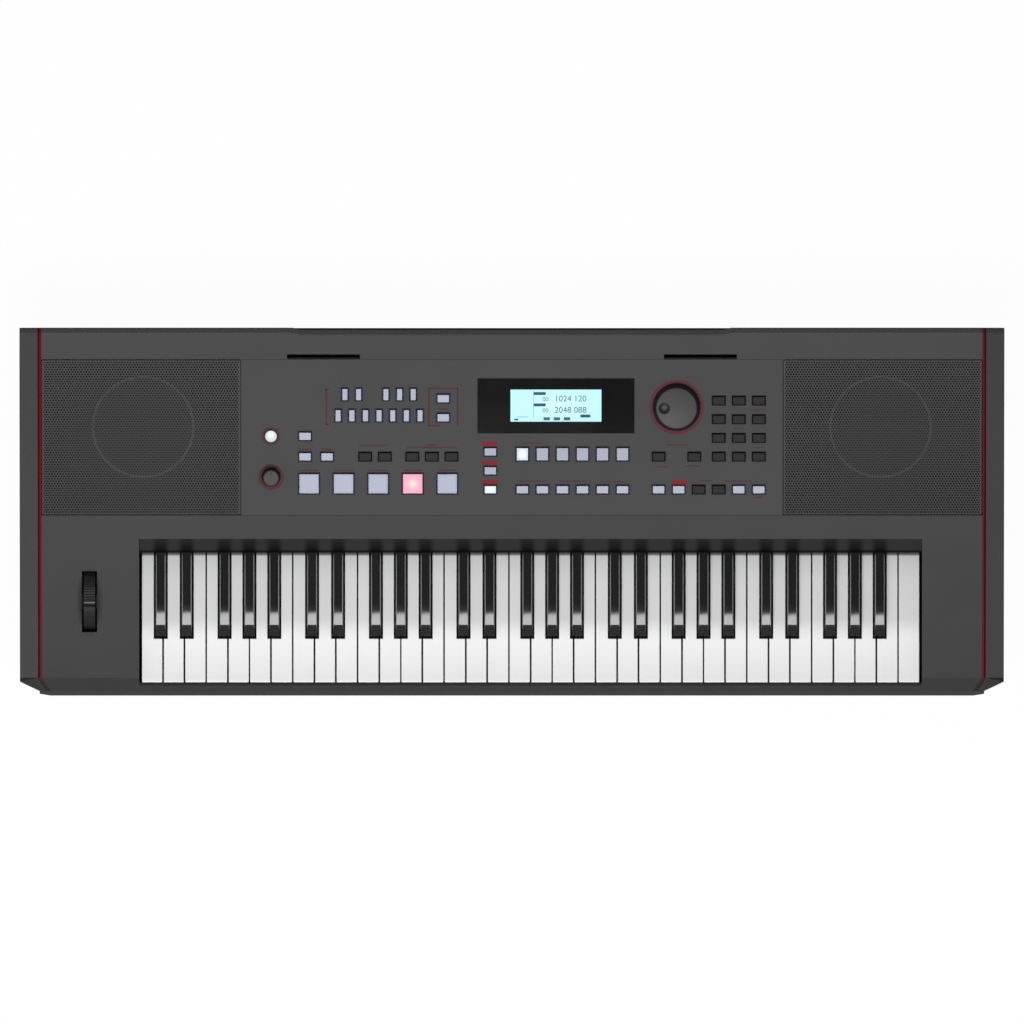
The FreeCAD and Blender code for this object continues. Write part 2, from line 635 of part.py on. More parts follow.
def speaker_grille():
    """Treble grille: sheet pan with a folded rim."""
    u0 = CONTROL_HALF + SEAM
    u1 = BODY_HALF - SEAM
    pan = box(u0, u1, SEAM, PANEL_LENGTH - SEAM, -PANEL_THICKNESS, 0)
    inside = box(u0 + GRILLE_RIM, u1 - GRILLE_RIM, SEAM + GRILLE_RIM, PANEL_LENGTH - SEAM - GRILLE_RIM,
                 -2 * PANEL_THICKNESS, -GRILLE_SHEET)
    return on_panel(pan.cut(inside))


def both_sides(shape, place):
    """A shape on the treble speaker place and its twin on the bass one."""
    u, v = place
    return [on_panel(shape, -u, v), on_panel(shape, u, v)]


def woofer_frame():
    """Square flange under the shelf, with a round opening and four legs that reach down to the magnet."""
    seat = SHELF_W - BASKET_SHEET
    low = SHELF_W - WOOFER_DEPTH
    hole = many_sided(WOOFER_HOLE, seat - WALL, SHELF_W + WALL)
    flange = slab(WOOFER_FLANGE, WOOFER_FLANGE, seat, SHELF_W).cut(hole)
    foot = WOOFER_MAGNET_RADIUS - BASKET_SHEET
    outline = [(WOOFER_HOLE, seat), (WOOFER_HOLE + BASKET_SHEET, seat), (foot, low), (foot - BASKET_SHEET, low)]
    leg = prism_y(outline, -BASKET_LEG / 2, BASKET_LEG / 2)
    quarter = math.degrees(math.pi / 2)
    legs = [leg.rotated(V(0, 0, 0), V(0, 0, 1), turn * quarter) for turn in range(4)]
    return fused([flange] + legs)


def woofer_cone():
    """Surround, cone and flat cap in one piece that lies on the frame."""
    rim = WOOFER_HOLE + CONE_RIM
    crest = SHELF_W + SURROUND_RISE
    throat_z = SHELF_W - CONE_DEPTH
    back = [(CONE_THROAT, throat_z - CONE_BACK), (WOOFER_HOLE - SEAM, SHELF_W), (rim, SHELF_W)]
    front = [(rim, crest), (rim - SURROUND_WIDTH, crest), (CONE_THROAT, throat_z)]
    return stacked([fluted(radius, z, ROUND_SIDES) for radius, z in back + front])


def woofer_magnet():
    """Round magnet under the legs of the frame."""
    top = SHELF_W - WOOFER_DEPTH
    return many_sided(WOOFER_MAGNET_RADIUS, top - WOOFER_MAGNET_HEIGHT, top)


def tweeter():
    """Small unit with a square flange under the shelf."""
    seat = SHELF_W - BASKET_SHEET
    body = many_sided(TWEETER_RADIUS, SHELF_W - TWEETER_DEPTH, seat)
    return fused([slab(TWEETER_FLANGE, TWEETER_FLANGE, seat, SHELF_W), body])


# Control panel

def style_places():
    """Two rows set out like the keys of one octave."""
    lower = [(STYLE_U + step * STYLE_PITCH, STYLE_LOWER_V) for step in range(7)]
    upper = [(STYLE_U + (step + 0.5) * STYLE_PITCH, STYLE_UPPER_V) for step in (0, 1, 3, 4, 5)]
    return upper, lower


def columns(u, v, count, pitch=COLUMN_PITCH):
    """Centres of a row of buttons."""
    return [(u + step * pitch, v) for step in range(count)]


def button_groups():
    """Every group of buttons: its centres and the width and depth of its caps."""
    upper, lower = style_places()
    cursor_u = DIAL_U - CURSOR_SPREAD / 2
    transport = columns(TRANSPORT_U, MIDDLE_ROW_V, 2, MIDDLE_PITCH)
    transport += columns(TRANSPORT_SPLIT_U, MIDDLE_ROW_V, 3, MIDDLE_PITCH)
    numbers = []
    for row in range(4):
        numbers += columns(NUMBER_U, MIDDLE_ROW_V + row * NUMBER_PITCH, 3)
    memory_u = NUMBER_U - 3 * COLUMN_PITCH
    setup = columns(SETUP_U, MIDDLE_ROW_V, 2, SETUP_PITCH) + [(SETUP_U, POWER_V)]
    bank = [(BANK_U, BANK_V), (BANK_U, BANK_V + BANK_PITCH)]
    part = [(PART_U, FRONT_ROW_V + row * PART_PITCH) for row in range(3)]
    memory = columns(memory_u, FRONT_ROW_V, 2) + columns(memory_u + 4 * COLUMN_PITCH, FRONT_ROW_V, 2)
    plain = (BUTTON_WIDTH, BUTTON_DEPTH)
    return {
        "style_buttons_upper": (upper, (STYLE_WIDTH, STYLE_DEPTH)),
        "style_buttons_lower": (lower, (STYLE_WIDTH, STYLE_DEPTH)),
        "bank_buttons": (bank, plain),
        "setup_buttons": (setup, plain),
        "transport_buttons": (transport, plain),
        "pad": (columns(PAD_U, PAD_V, 5, PAD_PITCH), (PAD_SIZE, PAD_SIZE)),
        "part_buttons": (part, plain),
        "tone_buttons": (columns(TONE_U, TONE_V, 6), (BUTTON_WIDTH, TALL_BUTTON_DEPTH)),
        "function_buttons": (columns(TONE_U, FRONT_ROW_V, 6), plain),
        "cursor_buttons": (columns(cursor_u, MIDDLE_ROW_V, 2, CURSOR_SPREAD), plain),
        "number_buttons": (numbers, plain),
        "memory_buttons": (memory, plain),
        "scene_buttons": (columns(memory_u + 2 * COLUMN_PITCH, FRONT_ROW_V, 2), plain),
    }


def button_cap(width, depth):
    """Cap with a chamfered top and a flange that holds it under the panel."""
    shoulder = CAP_HEIGHT - CAP_EDGE
    body = slab(width, depth, FLANGE_W, shoulder)
    crown = frustum(width, depth, shoulder, width - 2 * CAP_EDGE, depth - 2 * CAP_EDGE, CAP_HEIGHT)
    flange = slab(width + 2 * CAP_FLANGE, depth + 2 * CAP_FLANGE, FLANGE_W, FLANGE_W + CAP_FLANGE)
    return fused([body, crown, flange])


def power_button():
    """Round push button with a square flange under the panel."""
    size = 2 * (POWER_RADIUS + CAP_FLANGE)
    flange = slab(size, size, FLANGE_W, FLANGE_W + CAP_FLANGE)
    return fused([flange, many_sided(POWER_RADIUS, FLANGE_W, CAP_HEIGHT)])


def boss_places():
    """Pillars of the control panel that carry the board under it."""
    inset = SHELF_MARGIN + PILLAR_WIDTH
    edge = CONTROL_HALF - inset
    front = (FRONT_ROW_V + MIDDLE_ROW_V) / 2
    rear = PANEL_LENGTH - inset
    middle = (PART_U + TONE_U) / 2
    return [(-edge, front), (middle, front), (edge, front), (-edge, rear), (BANK_U, rear), (edge, rear)]


def control_panel():
    """Moulded plate with an opening for every control, a recess for the display window and board pillars."""
    plate = box(-CONTROL_HALF + SEAM, CONTROL_HALF - SEAM, SEAM, PANEL_LENGTH - SEAM, -PANEL_THICKNESS, 0)
    pillar = slab(PILLAR_WIDTH, PILLAR_WIDTH, BOARD_W, -PANEL_THICKNESS)
    plate = fused([plate] + [moved(pillar, u, v) for u, v in boss_places()])
    deep = 2 * PANEL_THICKNESS
    cutters = []
    for places, (width, depth) in button_groups().values():
        hole = slab(width + 2 * CAP_GAP, depth + 2 * CAP_GAP, -deep, deep)
        cutters += [moved(hole, u, v) for u, v in places]
    cutters.append(moved(many_sided(POWER_RADIUS + CAP_GAP, -deep, deep), KNOB_U, POWER_V))
    shaft = 2 * (SHAFT_RADIUS + CAP_GAP)
    cutters += [moved(slab(shaft, shaft, -deep, deep), u, v) for u, v in knob_places()]
    cutters.append(moved(slab(DISPLAY_WIDTH, DISPLAY_DEPTH, -DISPLAY_THICKNESS, deep), DISPLAY_U, DISPLAY_V))
    cutters.append(moved(slab(LCD_WIDTH, LCD_DEPTH, -deep, deep), DISPLAY_U, DISPLAY_V))
    return on_panel(plate.cut(cutters))


def display_window():
    """Flat lens set flush in the control panel."""
    lens = slab(DISPLAY_WIDTH - 2 * SEAM, DISPLAY_DEPTH - 2 * SEAM, -DISPLAY_THICKNESS, 0)
    return on_panel(lens, DISPLAY_U, DISPLAY_V)


def lcd_module():
    """Framed glass under the panel's opening."""
    top = -PANEL_THICKNESS
    frame = slab(LCD_WIDTH + 2 * LCD_BEZEL, LCD_DEPTH + 2 * LCD_BEZEL, top - LCD_HEIGHT, top)
    return on_panel(frame.cut(slab(LCD_WIDTH, LCD_DEPTH, top - LCD_SINK, top)), DISPLAY_U, DISPLAY_V)


def panel_board():
    """Board under the control panel."""
    inset = SHELF_MARGIN + SEAM
    edge = CONTROL_HALF - inset
    return on_panel(box(-edge, edge, inset, PANEL_LENGTH - inset, BOARD_W - BOARD_THICKNESS, BOARD_W))


def runs(values):
    """Values in order, split where a step is longer than a mat reaches."""
    groups = []
    for value in sorted(values):
        if groups and value - groups[-1][-1] <= MAT_REACH:
            groups[-1].append(value)
        else:
            groups.append([value])
    return groups


def switch_mats():
    """Rubber mats on the board, one under each row of a group of buttons."""
    groups = [places for places, _size in button_groups().values()] + [[(KNOB_U, POWER_V)]]
    half = MAT_WIDTH / 2
    mats = []
    for places in groups:
        for row in sorted({v for _u, v in places}):
            for run in runs([u for u, v in places if v == row]):
                mats.append(box(run[0] - half, run[-1] + half, row - half, row + half, BOARD_W, BOARD_W + MAT_HEIGHT))
    return [on_panel(mat) for mat in mats]


def knob_places():
    """Volume knob and value dial, as (u, v)."""
    return [(KNOB_U, VOLUME_V), (DIAL_U, DIAL_V)]


def rotary_control():
    """Square potentiometer or encoder body, bored for a shaft."""
    body = slab(CONTROL_BODY, CONTROL_BODY, BOARD_W, BOARD_W + CONTROL_BODY_HEIGHT)
    bore = (SHAFT_RADIUS + FIT) / math.cos(math.pi / ROUND_SIDES)
    return body.cut(many_sided(bore, BOARD_W + SHAFT_TIP_GAP, 0))


def knob(radius, top_radius, height, flutes):
    """Knob with flat flutes round its sides, on its own shaft."""
    edge = CAP_EDGE
    rings = [(radius, KNOB_LIFT), (radius, KNOB_LIFT + edge), (top_radius, height - edge), (top_radius - edge, height)]
    grip = stacked([fluted(size, z, flutes) for size, z in rings])
    return fused([grip, rod(SHAFT_RADIUS, BOARD_W + 2 * SHAFT_TIP_GAP, KNOB_LIFT)])


def value_dial():
    """Large dial with a finger dimple."""
    dial = knob(DIAL_RADIUS, DIAL_TOP_RADIUS, DIAL_HEIGHT, DIAL_FLUTES)
    dimple = many_sided(DIMPLE_RADIUS, DIAL_HEIGHT - DIMPLE_DEPTH, 2 * DIAL_HEIGHT)
    return on_panel(dial.cut(moved(dimple, -DIMPLE_OFFSET)), DIAL_U, DIAL_V)


def volume_knob():
    """Small knob with a pointer groove across the front of its top."""
    body = knob(VOLUME_RADIUS, VOLUME_TOP_RADIUS, VOLUME_HEIGHT, VOLUME_FLUTES)
    groove = box(-CAP_EDGE, CAP_EDGE, VOLUME_TOP_RADIUS / 3, VOLUME_RADIUS, VOLUME_HEIGHT - CAP_EDGE, 2 * VOLUME_HEIGHT)
    return on_panel(body.cut(groove), KNOB_U, VOLUME_V)


# Pitch wheel

def wheel_outline():
    """Rim with ribs along its rear side, and narrow hub of the wheel, as (y, z) points across its axle."""
    span = math.radians(WHEEL_SPAN)
    step = WHEEL_RIB_PITCH / WHEEL_RADIUS / 2
    rim = [(span * (index / WHEEL_FACETS - 1), 0) for index in range(WHEEL_FACETS)]
    rim += [(index * step, index % 2) for index in range(int(span / step) + 1)]
    points = []
    for turn, low in rim:
        radius = WHEEL_RADIUS - WHEEL_RIB_DEPTH * low
        points.append((radius * math.sin(turn), radius * math.cos(turn)))
    hub = 2 * SHAFT_RADIUS
    return points + [(hub, -hub), (-hub, -hub)]


def pitch_wheel():
    """Sector with a finger groove, on its own axle."""
    half = WHEEL_WIDTH / 2
    wheel = prism_x(wheel_outline(), -half, half)
    groove_z = WHEEL_RADIUS + WHEEL_GROOVE_RADIUS - WHEEL_GROOVE_DEPTH
    wheel = wheel.cut(rod_x(WHEEL_GROOVE_RADIUS, -WHEEL_WIDTH, WHEEL_WIDTH, 0, groove_z))
    reach = half + EAR_GAP + EAR_THICKNESS
    wheel = wheel.fuse(rod_x(SHAFT_RADIUS, -reach, reach, 0, 0))
    return on_panel(moved(wheel, z=-WHEEL_SINK), *wheel_place())


def wheel_bracket():
    """Two angle ears under the case that carry the axle."""
    top = -WALL
    low = -WHEEL_SINK - 2 * SHAFT_RADIUS
    inner = WHEEL_WIDTH / 2 + EAR_GAP
    outer = inner + EAR_THICKNESS
    plate = box(inner, outer, -EAR_WIDTH / 2, EAR_WIDTH / 2, low, top)
    foot = box(inner, outer + EAR_FOOT, -EAR_WIDTH / 2, EAR_WIDTH / 2, top - EAR_THICKNESS, top)
    bore = many_sided((SHAFT_RADIUS + FIT) / math.cos(math.pi / ROUND_SIDES), 0, 2 * outer)
    bore = bore.rotated(V(0, 0, 0), V(0, 1, 0), math.degrees(math.pi / 2))
    ear = fused([plate, foot]).cut(moved(bore, z=-WHEEL_SINK))
    return [on_panel(ear, *wheel_place()), on_panel(mirrored(ear), *wheel_place())]


# Keys

def tail_sides(step):
    """Left and right edge of a white key beside the black ones, from the start of its octave."""
    left = step * KEY_PITCH + KEY_GAP / 2
    right = (step + 1) * KEY_PITCH - KEY_GAP / 2
    clear = BLACK_BASE_WIDTH / 2 + BLACK_NOTCH_GAP
    for centre in BLACK_PLACES.values():
        if abs(centre - step * KEY_PITCH) < KEY_PITCH / 2:
            left = centre + clear
        if abs(centre - (step + 1) * KEY_PITCH) < KEY_PITCH / 2:
            right = centre - clear
    return left, right


def white_outline(step, tail):
    """Plan of a white key."""
    left = step * KEY_PITCH + KEY_GAP / 2
    right = (step + 1) * KEY_PITCH - KEY_GAP / 2
    points = [(left, KEY_FRONT_Y), (right, KEY_FRONT_Y)]
    if tail[1] < right:
        points += [(right, NOTCH_Y), (tail[1], NOTCH_Y)]
    points += [(tail[1], KEY_REAR_Y), (tail[0], KEY_REAR_Y)]
    if tail[0] > left:
        points += [(tail[0], NOTCH_Y), (left, NOTCH_Y)]
    return points


def key_cutters(left, right, front, rear):
    """Channel under the front of a key, and the notch that rocks on the pivot bead."""
    channel = box(left + KEY_WALL, right - KEY_WALL, front + KEY_WALL, rear - KEY_WALL, 0, ROOF_Z)
    slope = (PIVOT_RADIUS + PIVOT_GAP) * math.sqrt(2)
    vee = [(PIVOT_Y - slope, PIVOT_Z), (PIVOT_Y, PIVOT_Z + slope), (PIVOT_Y + slope, PIVOT_Z)]
    return [channel, prism_x(vee, left - KEY_PITCH, right + KEY_PITCH)]


def white_key(step, tail):
    """White key with a chamfered front edge."""
    body = prism_z(white_outline(step, tail), WHITE_BOTTOM, WHITE_TOP)
    edge = [(KEY_FRONT_Y, WHITE_TOP - KEY_EDGE), (KEY_FRONT_Y, WHITE_TOP), (KEY_FRONT_Y + KEY_EDGE, WHITE_TOP)]
    left = step * KEY_PITCH
    right = left + KEY_PITCH
    cutters = key_cutters(left + KEY_GAP / 2, right - KEY_GAP / 2, KEY_FRONT_Y, NOTCH_Y)
    return body.cut(cutters + [prism_x(edge, left, right)]).removeSplitter()


def black_key():
    """Black key at x = 0: tapered sides, a top that curves down and a steep nose."""
    crown_end = BLACK_FRONT_Y + BLACK_NOSE_LENGTH
    crown_start = crown_end + BLACK_CROWN_SHARE * BLACK_LENGTH
    crown_z = BLACK_TOP - BLACK_CROWN_DROP
    curve = V(0, (crown_start + crown_end) / 2, BLACK_TOP - BLACK_CROWN_DROP / 4)
    crown = Part.Arc(V(0, crown_start, BLACK_TOP), curve, V(0, crown_end, crown_z)).toShape()
    step_y = WELL_STRIP_Y + WELL_STRIP_LAP
    outline = [(crown_end, crown_z), (BLACK_FRONT_Y + BLACK_NOSE_LENGTH / 5, crown_z - BLACK_NOSE_DROP + WALL)]
    outline += [(BLACK_FRONT_Y, crown_z - BLACK_NOSE_DROP - WALL), (BLACK_FRONT_Y, WHITE_BOTTOM)]
    outline += [(KEY_REAR_Y, WHITE_BOTTOM), (KEY_REAR_Y, WHITE_TOP), (step_y + BLACK_RISE / 2, WHITE_TOP)]
    outline += [(step_y, BLACK_TOP), (crown_start, BLACK_TOP)]
    rest = Part.makePolygon([V(0, y, z) for y, z in outline])
    half = BLACK_BASE_WIDTH / 2
    side = Part.Face(Part.Wire([crown] + rest.Edges)).extrude(V(BLACK_BASE_WIDTH, 0, 0)).translated(V(-half, 0, 0))
    top = BLACK_TOP_WIDTH / 2
    right = [(half, 0), (half, WHITE_TOP), (top, BLACK_TOP)]
    taper = prism_y([(-x, z) for x, z in right] + right[::-1], FRONT_Y, REAR_Y)
    channel_end = BLACK_FRONT_Y + BLACK_CHANNEL_SHARE * BLACK_LENGTH
    return side.common(taper).cut(key_cutters(-half, half, BLACK_FRONT_Y, channel_end)).removeSplitter()


def white_keys(step):
    """All white keys of one letter, an octave apart."""
    key = white_key(step, tail_sides(step))
    keys = [moved(key, KEYS_LEFT + octave * OCTAVE) for octave in range(OCTAVES)]
    if step == 0:
        last = white_key(0, (KEY_GAP / 2, KEY_PITCH - KEY_GAP / 2))
        keys.append(moved(last, KEYS_LEFT + OCTAVES * OCTAVE))
    return keys


def key_middles():
    """Middle of every key's tail, lowest first."""
    middles = []
    for octave in range(OCTAVES):
        start = KEYS_LEFT + octave * OCTAVE
        middles += [start + sum(tail_sides(step)) / 2 for step in range(len(WHITE_NAMES))]
        middles += [start + centre for centre in BLACK_PLACES.values()]
    return sorted(middles + [KEYS_RIGHT - KEY_PITCH / 2])


# Keybed frame

def key_frame():
    """Folded plate on two legs, with a pivot bead along the rear that every key rocks on."""
    front = KEY_FRONT_Y + FRAME_FRONT_SETBACK
    low = PLATE_Z - FRAME_SHEET
    profile = [(front, FLOOR_Z), (front, PLATE_Z), (KEY_REAR_Y, PLATE_Z), (KEY_REAR_Y, FLOOR_Z)]
    profile += [(KEY_REAR_Y - FRAME_SHEET, FLOOR_Z), (KEY_REAR_Y - FRAME_SHEET, low), (front + FRAME_SHEET, low)]
    plate = prism_x(profile + [(front + FRAME_SHEET, FLOOR_Z)], KEYS_LEFT, KEYS_RIGHT)
    web = PIVOT_WEB / 2
    pieces = [plate, box(KEYS_LEFT, KEYS_RIGHT, PIVOT_Y - web, PIVOT_Y + web, PLATE_Z, PIVOT_Z)]
    pieces.append(rod_x(PIVOT_RADIUS, KEYS_LEFT, KEYS_RIGHT, PIVOT_Y, PIVOT_Z))
    return fused(pieces)


def key_stop_felts():
    """Felt that the keys land on: one strip under the white heads, one under the black keys."""
    places = zip(FELT_STARTS, FELT_TOPS)
    return [box(KEYS_LEFT, KEYS_RIGHT, start, start + FELT_DEPTH, PLATE_Z, top) for start, top in places]


def key_contact_board():
    """Long board under the contact strips."""
    half = CONTACT_BOARD_SHARE * CONTACT_SPACE / 2
    return box(KEYS_LEFT, KEYS_RIGHT, CONTACT_Y - half, CONTACT_Y + half, PLATE_Z, PLATE_Z + BOARD_THICKNESS)


def contact_strips():
    """Rubber strips, one an octave, with a dome under every key that also returns it."""
    base = PLATE_Z + BOARD_THICKNESS
    sheet = base + RUBBER_SHEET
    dome = frustum(DOME_BASE, DOME_BASE, sheet, DOME_TOP, DOME_TOP, WHITE_BOTTOM - DOME_GAP)
    half = RUBBER_STRIP_DEPTH / 2
    pieces = []
    for octave in range(OCTAVES):
        start = KEYS_LEFT + octave * OCTAVE
        end = KEYS_RIGHT if octave == OCTAVES - 1 else start + OCTAVE - SEAM
        strip = box(start, end, CONTACT_Y - half, CONTACT_Y + half, base, sheet)
        domes = [moved(dome, x, CONTACT_Y) for x in key_middles() if start < x < end]
        pieces.append(fused([strip] + domes))
    return pieces


# Boards and sockets

def main_board_corner():
    """Rear edge and half length of the main board."""
    return REAR_Y - MAIN_BOARD_INSET, MAIN_BOARD_LENGTH / 2


def main_board_posts():
    """Stand-offs of the tray under the main board."""
    rear, half = main_board_corner()
    inset = PILLAR_WIDTH
    ys = (rear - inset, rear - MAIN_BOARD_DEPTH + inset)
    return [(x, y) for x in (-half + inset, half - inset) for y in ys]


def main_board():
    """Main board with a finned heat sink and its largest components."""
    rear, half = main_board_corner()
    base = FLOOR_Z + MAIN_BOARD_LIFT
    top = base + BOARD_THICKNESS
    front = rear - MAIN_BOARD_DEPTH
    board = box(-half, half, front, rear, base, top)
    pieces = [board]
    sink_left = half - SINK_LENGTH - PILLAR_WIDTH
    sink_front = rear - MAIN_BOARD_DEPTH / 2
    sink_rear = rear - PILLAR_WIDTH
    pieces.append(box(sink_left, sink_left + SINK_LENGTH, sink_front, sink_rear, top, top + SINK_FIN))
    pitch = (SINK_LENGTH - SINK_FIN) / (SINK_FINS - 1)
    for fin in range(SINK_FINS):
        x = sink_left + fin * pitch
        pieces.append(box(x, x + SINK_FIN, sink_front, sink_rear, top, top + SINK_HEIGHT))
    chip = slab(SINK_HEIGHT, SINK_HEIGHT, top, top + SINK_FIN)
    pieces += [moved(chip, x, front + MAIN_BOARD_DEPTH / 3) for x in (-half / 2, 0.0)]
    return fused(pieces)


def audio_jack_places():
    """Middles of the round jacks along X."""
    return [JACK_FIRST_X + index * JACK_PITCH for index in range(AUDIO_JACKS)]


def audio_jack():
    """Square jack housing with a blind bore."""
    half = JACK_SIZE / 2
    body = box(-half, half, JACK_FACE_Y - JACK_LENGTH, JACK_FACE_Y, JACK_Z - half, JACK_Z + half)
    return body.cut(rod_y(JACK_BORE, JACK_FACE_Y - JACK_BORE_DEPTH, JACK_FACE_Y + WALL, 0, JACK_Z))


def usb_socket(x, size, tongue, lift):
    """Sheet shell round a tongue."""
    width = size[0] / 2
    height = size[1] / 2
    rear = JACK_FACE_Y
    front = rear - JACK_LENGTH
    shell = box(x - width, x + width, front, rear, JACK_Z - height, JACK_Z + height)
    width -= USB_SHEET
    height -= USB_SHEET
    cavity = box(x - width, x + width, rear - USB_DEPTH, rear + WALL, JACK_Z - height, JACK_Z + height)
    half = tongue[0] / 2
    middle = JACK_Z + lift
    blade = box(x - half, x + half, front, rear - USB_SHEET, middle - tongue[1] / 2, middle + tongue[1] / 2)
    return shell.cut(cavity).fuse(blade).removeSplitter()


def usb_sockets():
    """A flat and a square socket side by side."""
    flat_lift = USB_A_SIZE[1] / 2 - USB_SHEET - USB_A_TONGUE[1]
    return [
        usb_socket(USB_X, USB_A_SIZE, USB_A_TONGUE, flat_lift),
        usb_socket(USB_X + USB_PITCH, USB_B_SIZE, USB_B_TONGUE, 0.0),
    ]


def dc_inlet():
    """Square power inlet with a round mouth and a centre pin."""
    half = INLET_SIZE / 2
    rear = JACK_FACE_Y
    body = box(INLET_X - half, INLET_X + half, rear - JACK_LENGTH, rear, JACK_Z - half, JACK_Z + half)
    body = body.cut(rod_y(INLET_BORE, rear - INLET_DEPTH, rear + WALL, INLET_X, JACK_Z))
    return body.fuse(rod_y(INLET_PIN, rear - JACK_LENGTH / 2, rear - WALL, INLET_X, JACK_Z)).removeSplitter()


def jack_panel():
    """Plate behind the window in the rear wall, with a square hole for each socket."""
    half = JACK_WINDOW_LENGTH / 2 + JACK_LAP
    height = JACK_WINDOW_HEIGHT / 2 + JACK_LAP
    plate = box(-half, half, JACK_SEAT_Y - JACK_PANEL, JACK_SEAT_Y, JACK_Z - height, JACK_Z + height)
    holes = [(x, JACK_SIZE, JACK_SIZE) for x in audio_jack_places()]
    holes += [(USB_X, *USB_A_SIZE), (USB_X + USB_PITCH, *USB_B_SIZE), (INLET_X, INLET_SIZE, INLET_SIZE)]
    cutters = []
    for x, width, tall in holes:
        w = width / 2 + SOCKET_GAP
        h = tall / 2 + SOCKET_GAP
        cutters.append(box(x - w, x + w, JACK_SEAT_Y - WALL, REAR_Y, JACK_Z - h, JACK_Z + h))
    return plate.cut(cutters)


def build():
    """Write every sub-part."""
    os.makedirs("parts", exist_ok=True)
    save("upper_case", [upper_case()])
    save("lower_case", [lower_case()])
    save("end_caps", [mirrored(end_cap()), end_cap()])
    save("trim_strips", [mirrored(trim_strip()), trim_strip()])
    save("key_well_strip", [key_well_strip()])
    save("rubber_feet", rubber_feet())
    save("speaker_grilles", [mirrored(speaker_grille()), speaker_grille()])
    woofer, treble = speaker_places()
    save("woofer_frames", both_sides(woofer_frame(), woofer))
    save("woofer_cones", both_sides(woofer_cone(), woofer))
    save("woofer_magnets", both_sides(woofer_magnet(), woofer))
    save("tweeters", both_sides(tweeter(), treble))
    save("control_panel", [control_panel()])
    save("display_window", [display_window()])
    save("lcd_module", [lcd_module()])
    save("panel_board", [panel_board()])
    save("switch_mats", switch_mats())
    save("rotary_controls", [on_panel(rotary_control(), u, v) for u, v in knob_places()])
    for name, (places, size) in button_groups().items():
        cap = button_cap(*size)
        caps = [on_panel(cap, u, v) for u, v in places]
        if name == "pad":
            for number, pad in enumerate(caps, start=1):
                save(f"pad_{number}", [pad])
        else:
            save(name, caps)
    save("power_button", [on_panel(power_button(), KNOB_U, POWER_V)])
    save("volume_knob", [volume_knob()])
    save("value_dial", [value_dial()])
    save("pitch_wheel", [pitch_wheel()])
    save("wheel_bracket", wheel_bracket())
    for step, letter in enumerate(WHITE_NAMES):
        save(f"white_keys_{letter}", white_keys(step))
    black = black_key()
    for name, centre in BLACK_PLACES.items():
        copies = [moved(black, KEYS_LEFT + octave * OCTAVE + centre) for octave in range(OCTAVES)]
        save(f"black_keys_{name}", copies)
    save("key_frame", [key_frame()])
    save("key_stop_felts", key_stop_felts())
    save("key_contact_board", [key_contact_board()])
    save("rubber_contact_strips", contact_strips())
    save("main_board", [main_board()])
    save("jack_panel", [jack_panel()])
    save("audio_jacks", [moved(audio_jack(), x) for x in audio_jack_places()])
    save("usb_sockets", usb_sockets())
    save("dc_inlet", [dc_inlet()])


build()
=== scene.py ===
import logging
import math
from dataclasses import dataclass
from enum import Enum
from functools import cache
from typing import Callable, Iterable

import bpy
from mathutils import Matrix, Vector


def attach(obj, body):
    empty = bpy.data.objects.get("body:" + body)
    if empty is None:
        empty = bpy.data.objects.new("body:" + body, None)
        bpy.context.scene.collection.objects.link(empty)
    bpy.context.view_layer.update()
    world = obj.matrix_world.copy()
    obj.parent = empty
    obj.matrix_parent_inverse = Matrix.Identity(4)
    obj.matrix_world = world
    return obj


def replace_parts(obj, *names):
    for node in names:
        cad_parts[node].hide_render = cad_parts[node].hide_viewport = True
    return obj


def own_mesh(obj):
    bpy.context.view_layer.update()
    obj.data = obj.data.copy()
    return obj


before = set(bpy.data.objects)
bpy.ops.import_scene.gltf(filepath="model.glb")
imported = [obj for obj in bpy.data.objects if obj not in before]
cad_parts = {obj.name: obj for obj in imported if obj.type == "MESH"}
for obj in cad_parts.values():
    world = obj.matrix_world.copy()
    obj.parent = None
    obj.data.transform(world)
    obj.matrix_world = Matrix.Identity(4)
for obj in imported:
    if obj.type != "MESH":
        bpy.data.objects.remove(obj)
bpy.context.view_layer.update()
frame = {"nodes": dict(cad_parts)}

log = logging.getLogger("arranger_keyboard")

Tone = tuple[int, int, int]  # screen colour, each part from 0 to 255
Colour = tuple[float, float, float, float]  # shader colour in linear light, with alpha
Pair = tuple[float, float]
Profile = list[Pair]  # radius and height in millimetres, in order
Piece = bpy.types.Object
Socket = bpy.types.NodeSocket
Ends = bpy.types.bpy_prop_collection  # sockets of a node, by name

MM = 0.001
WELD = 0.002 * MM  # points closer than this are one
CAD_WELD = 0.005 * MM  # the same for the points of a CAD node
FACING = 0.9  # a face with more of its normal than this along an axis faces that way
LEVEL = 0.99  # the same for a face that lies square to the axis
SMOOTH = 35.0  # edges of fewer degrees than this look smooth on turned pieces
INK_EDGE = 0.03  # bevel of a printed mark, in millimetres
UNLIT = (0.0, 0.0, 0.0, 1.0)
WHITE = (1.0, 1.0, 1.0, 1.0)
HALF_DEPTH = 200.0  # middle of the case to its front and rear edges, in millimetres
KEYS_LEFT = -402.75  # start of the lowest octave
OCTAVE = 164.5
OCTAVES = 5


class White(Enum):
    """White keys of an octave, with the middles of their tails in millimetres from its start."""

    C = 7.15
    D = 35.25
    E = 63.35
    F = 77.1
    G = 104.0
    A = 131.0
    B = 157.9

    @property
    def node(self) -> str:
        """CAD node of the keys with this letter."""
        return f"white_keys_{self.name.lower()}"


class Black(Enum):
    """Black keys of an octave, by the white key below them, with their middles in millimetres."""

    C = 21.1
    D = 49.4
    F = 90.5
    G = 117.5
    A = 144.5

    @property
    def node(self) -> str:
        """CAD node of the keys with this name."""
        return f"black_keys_{self.name.lower()}_sharp"


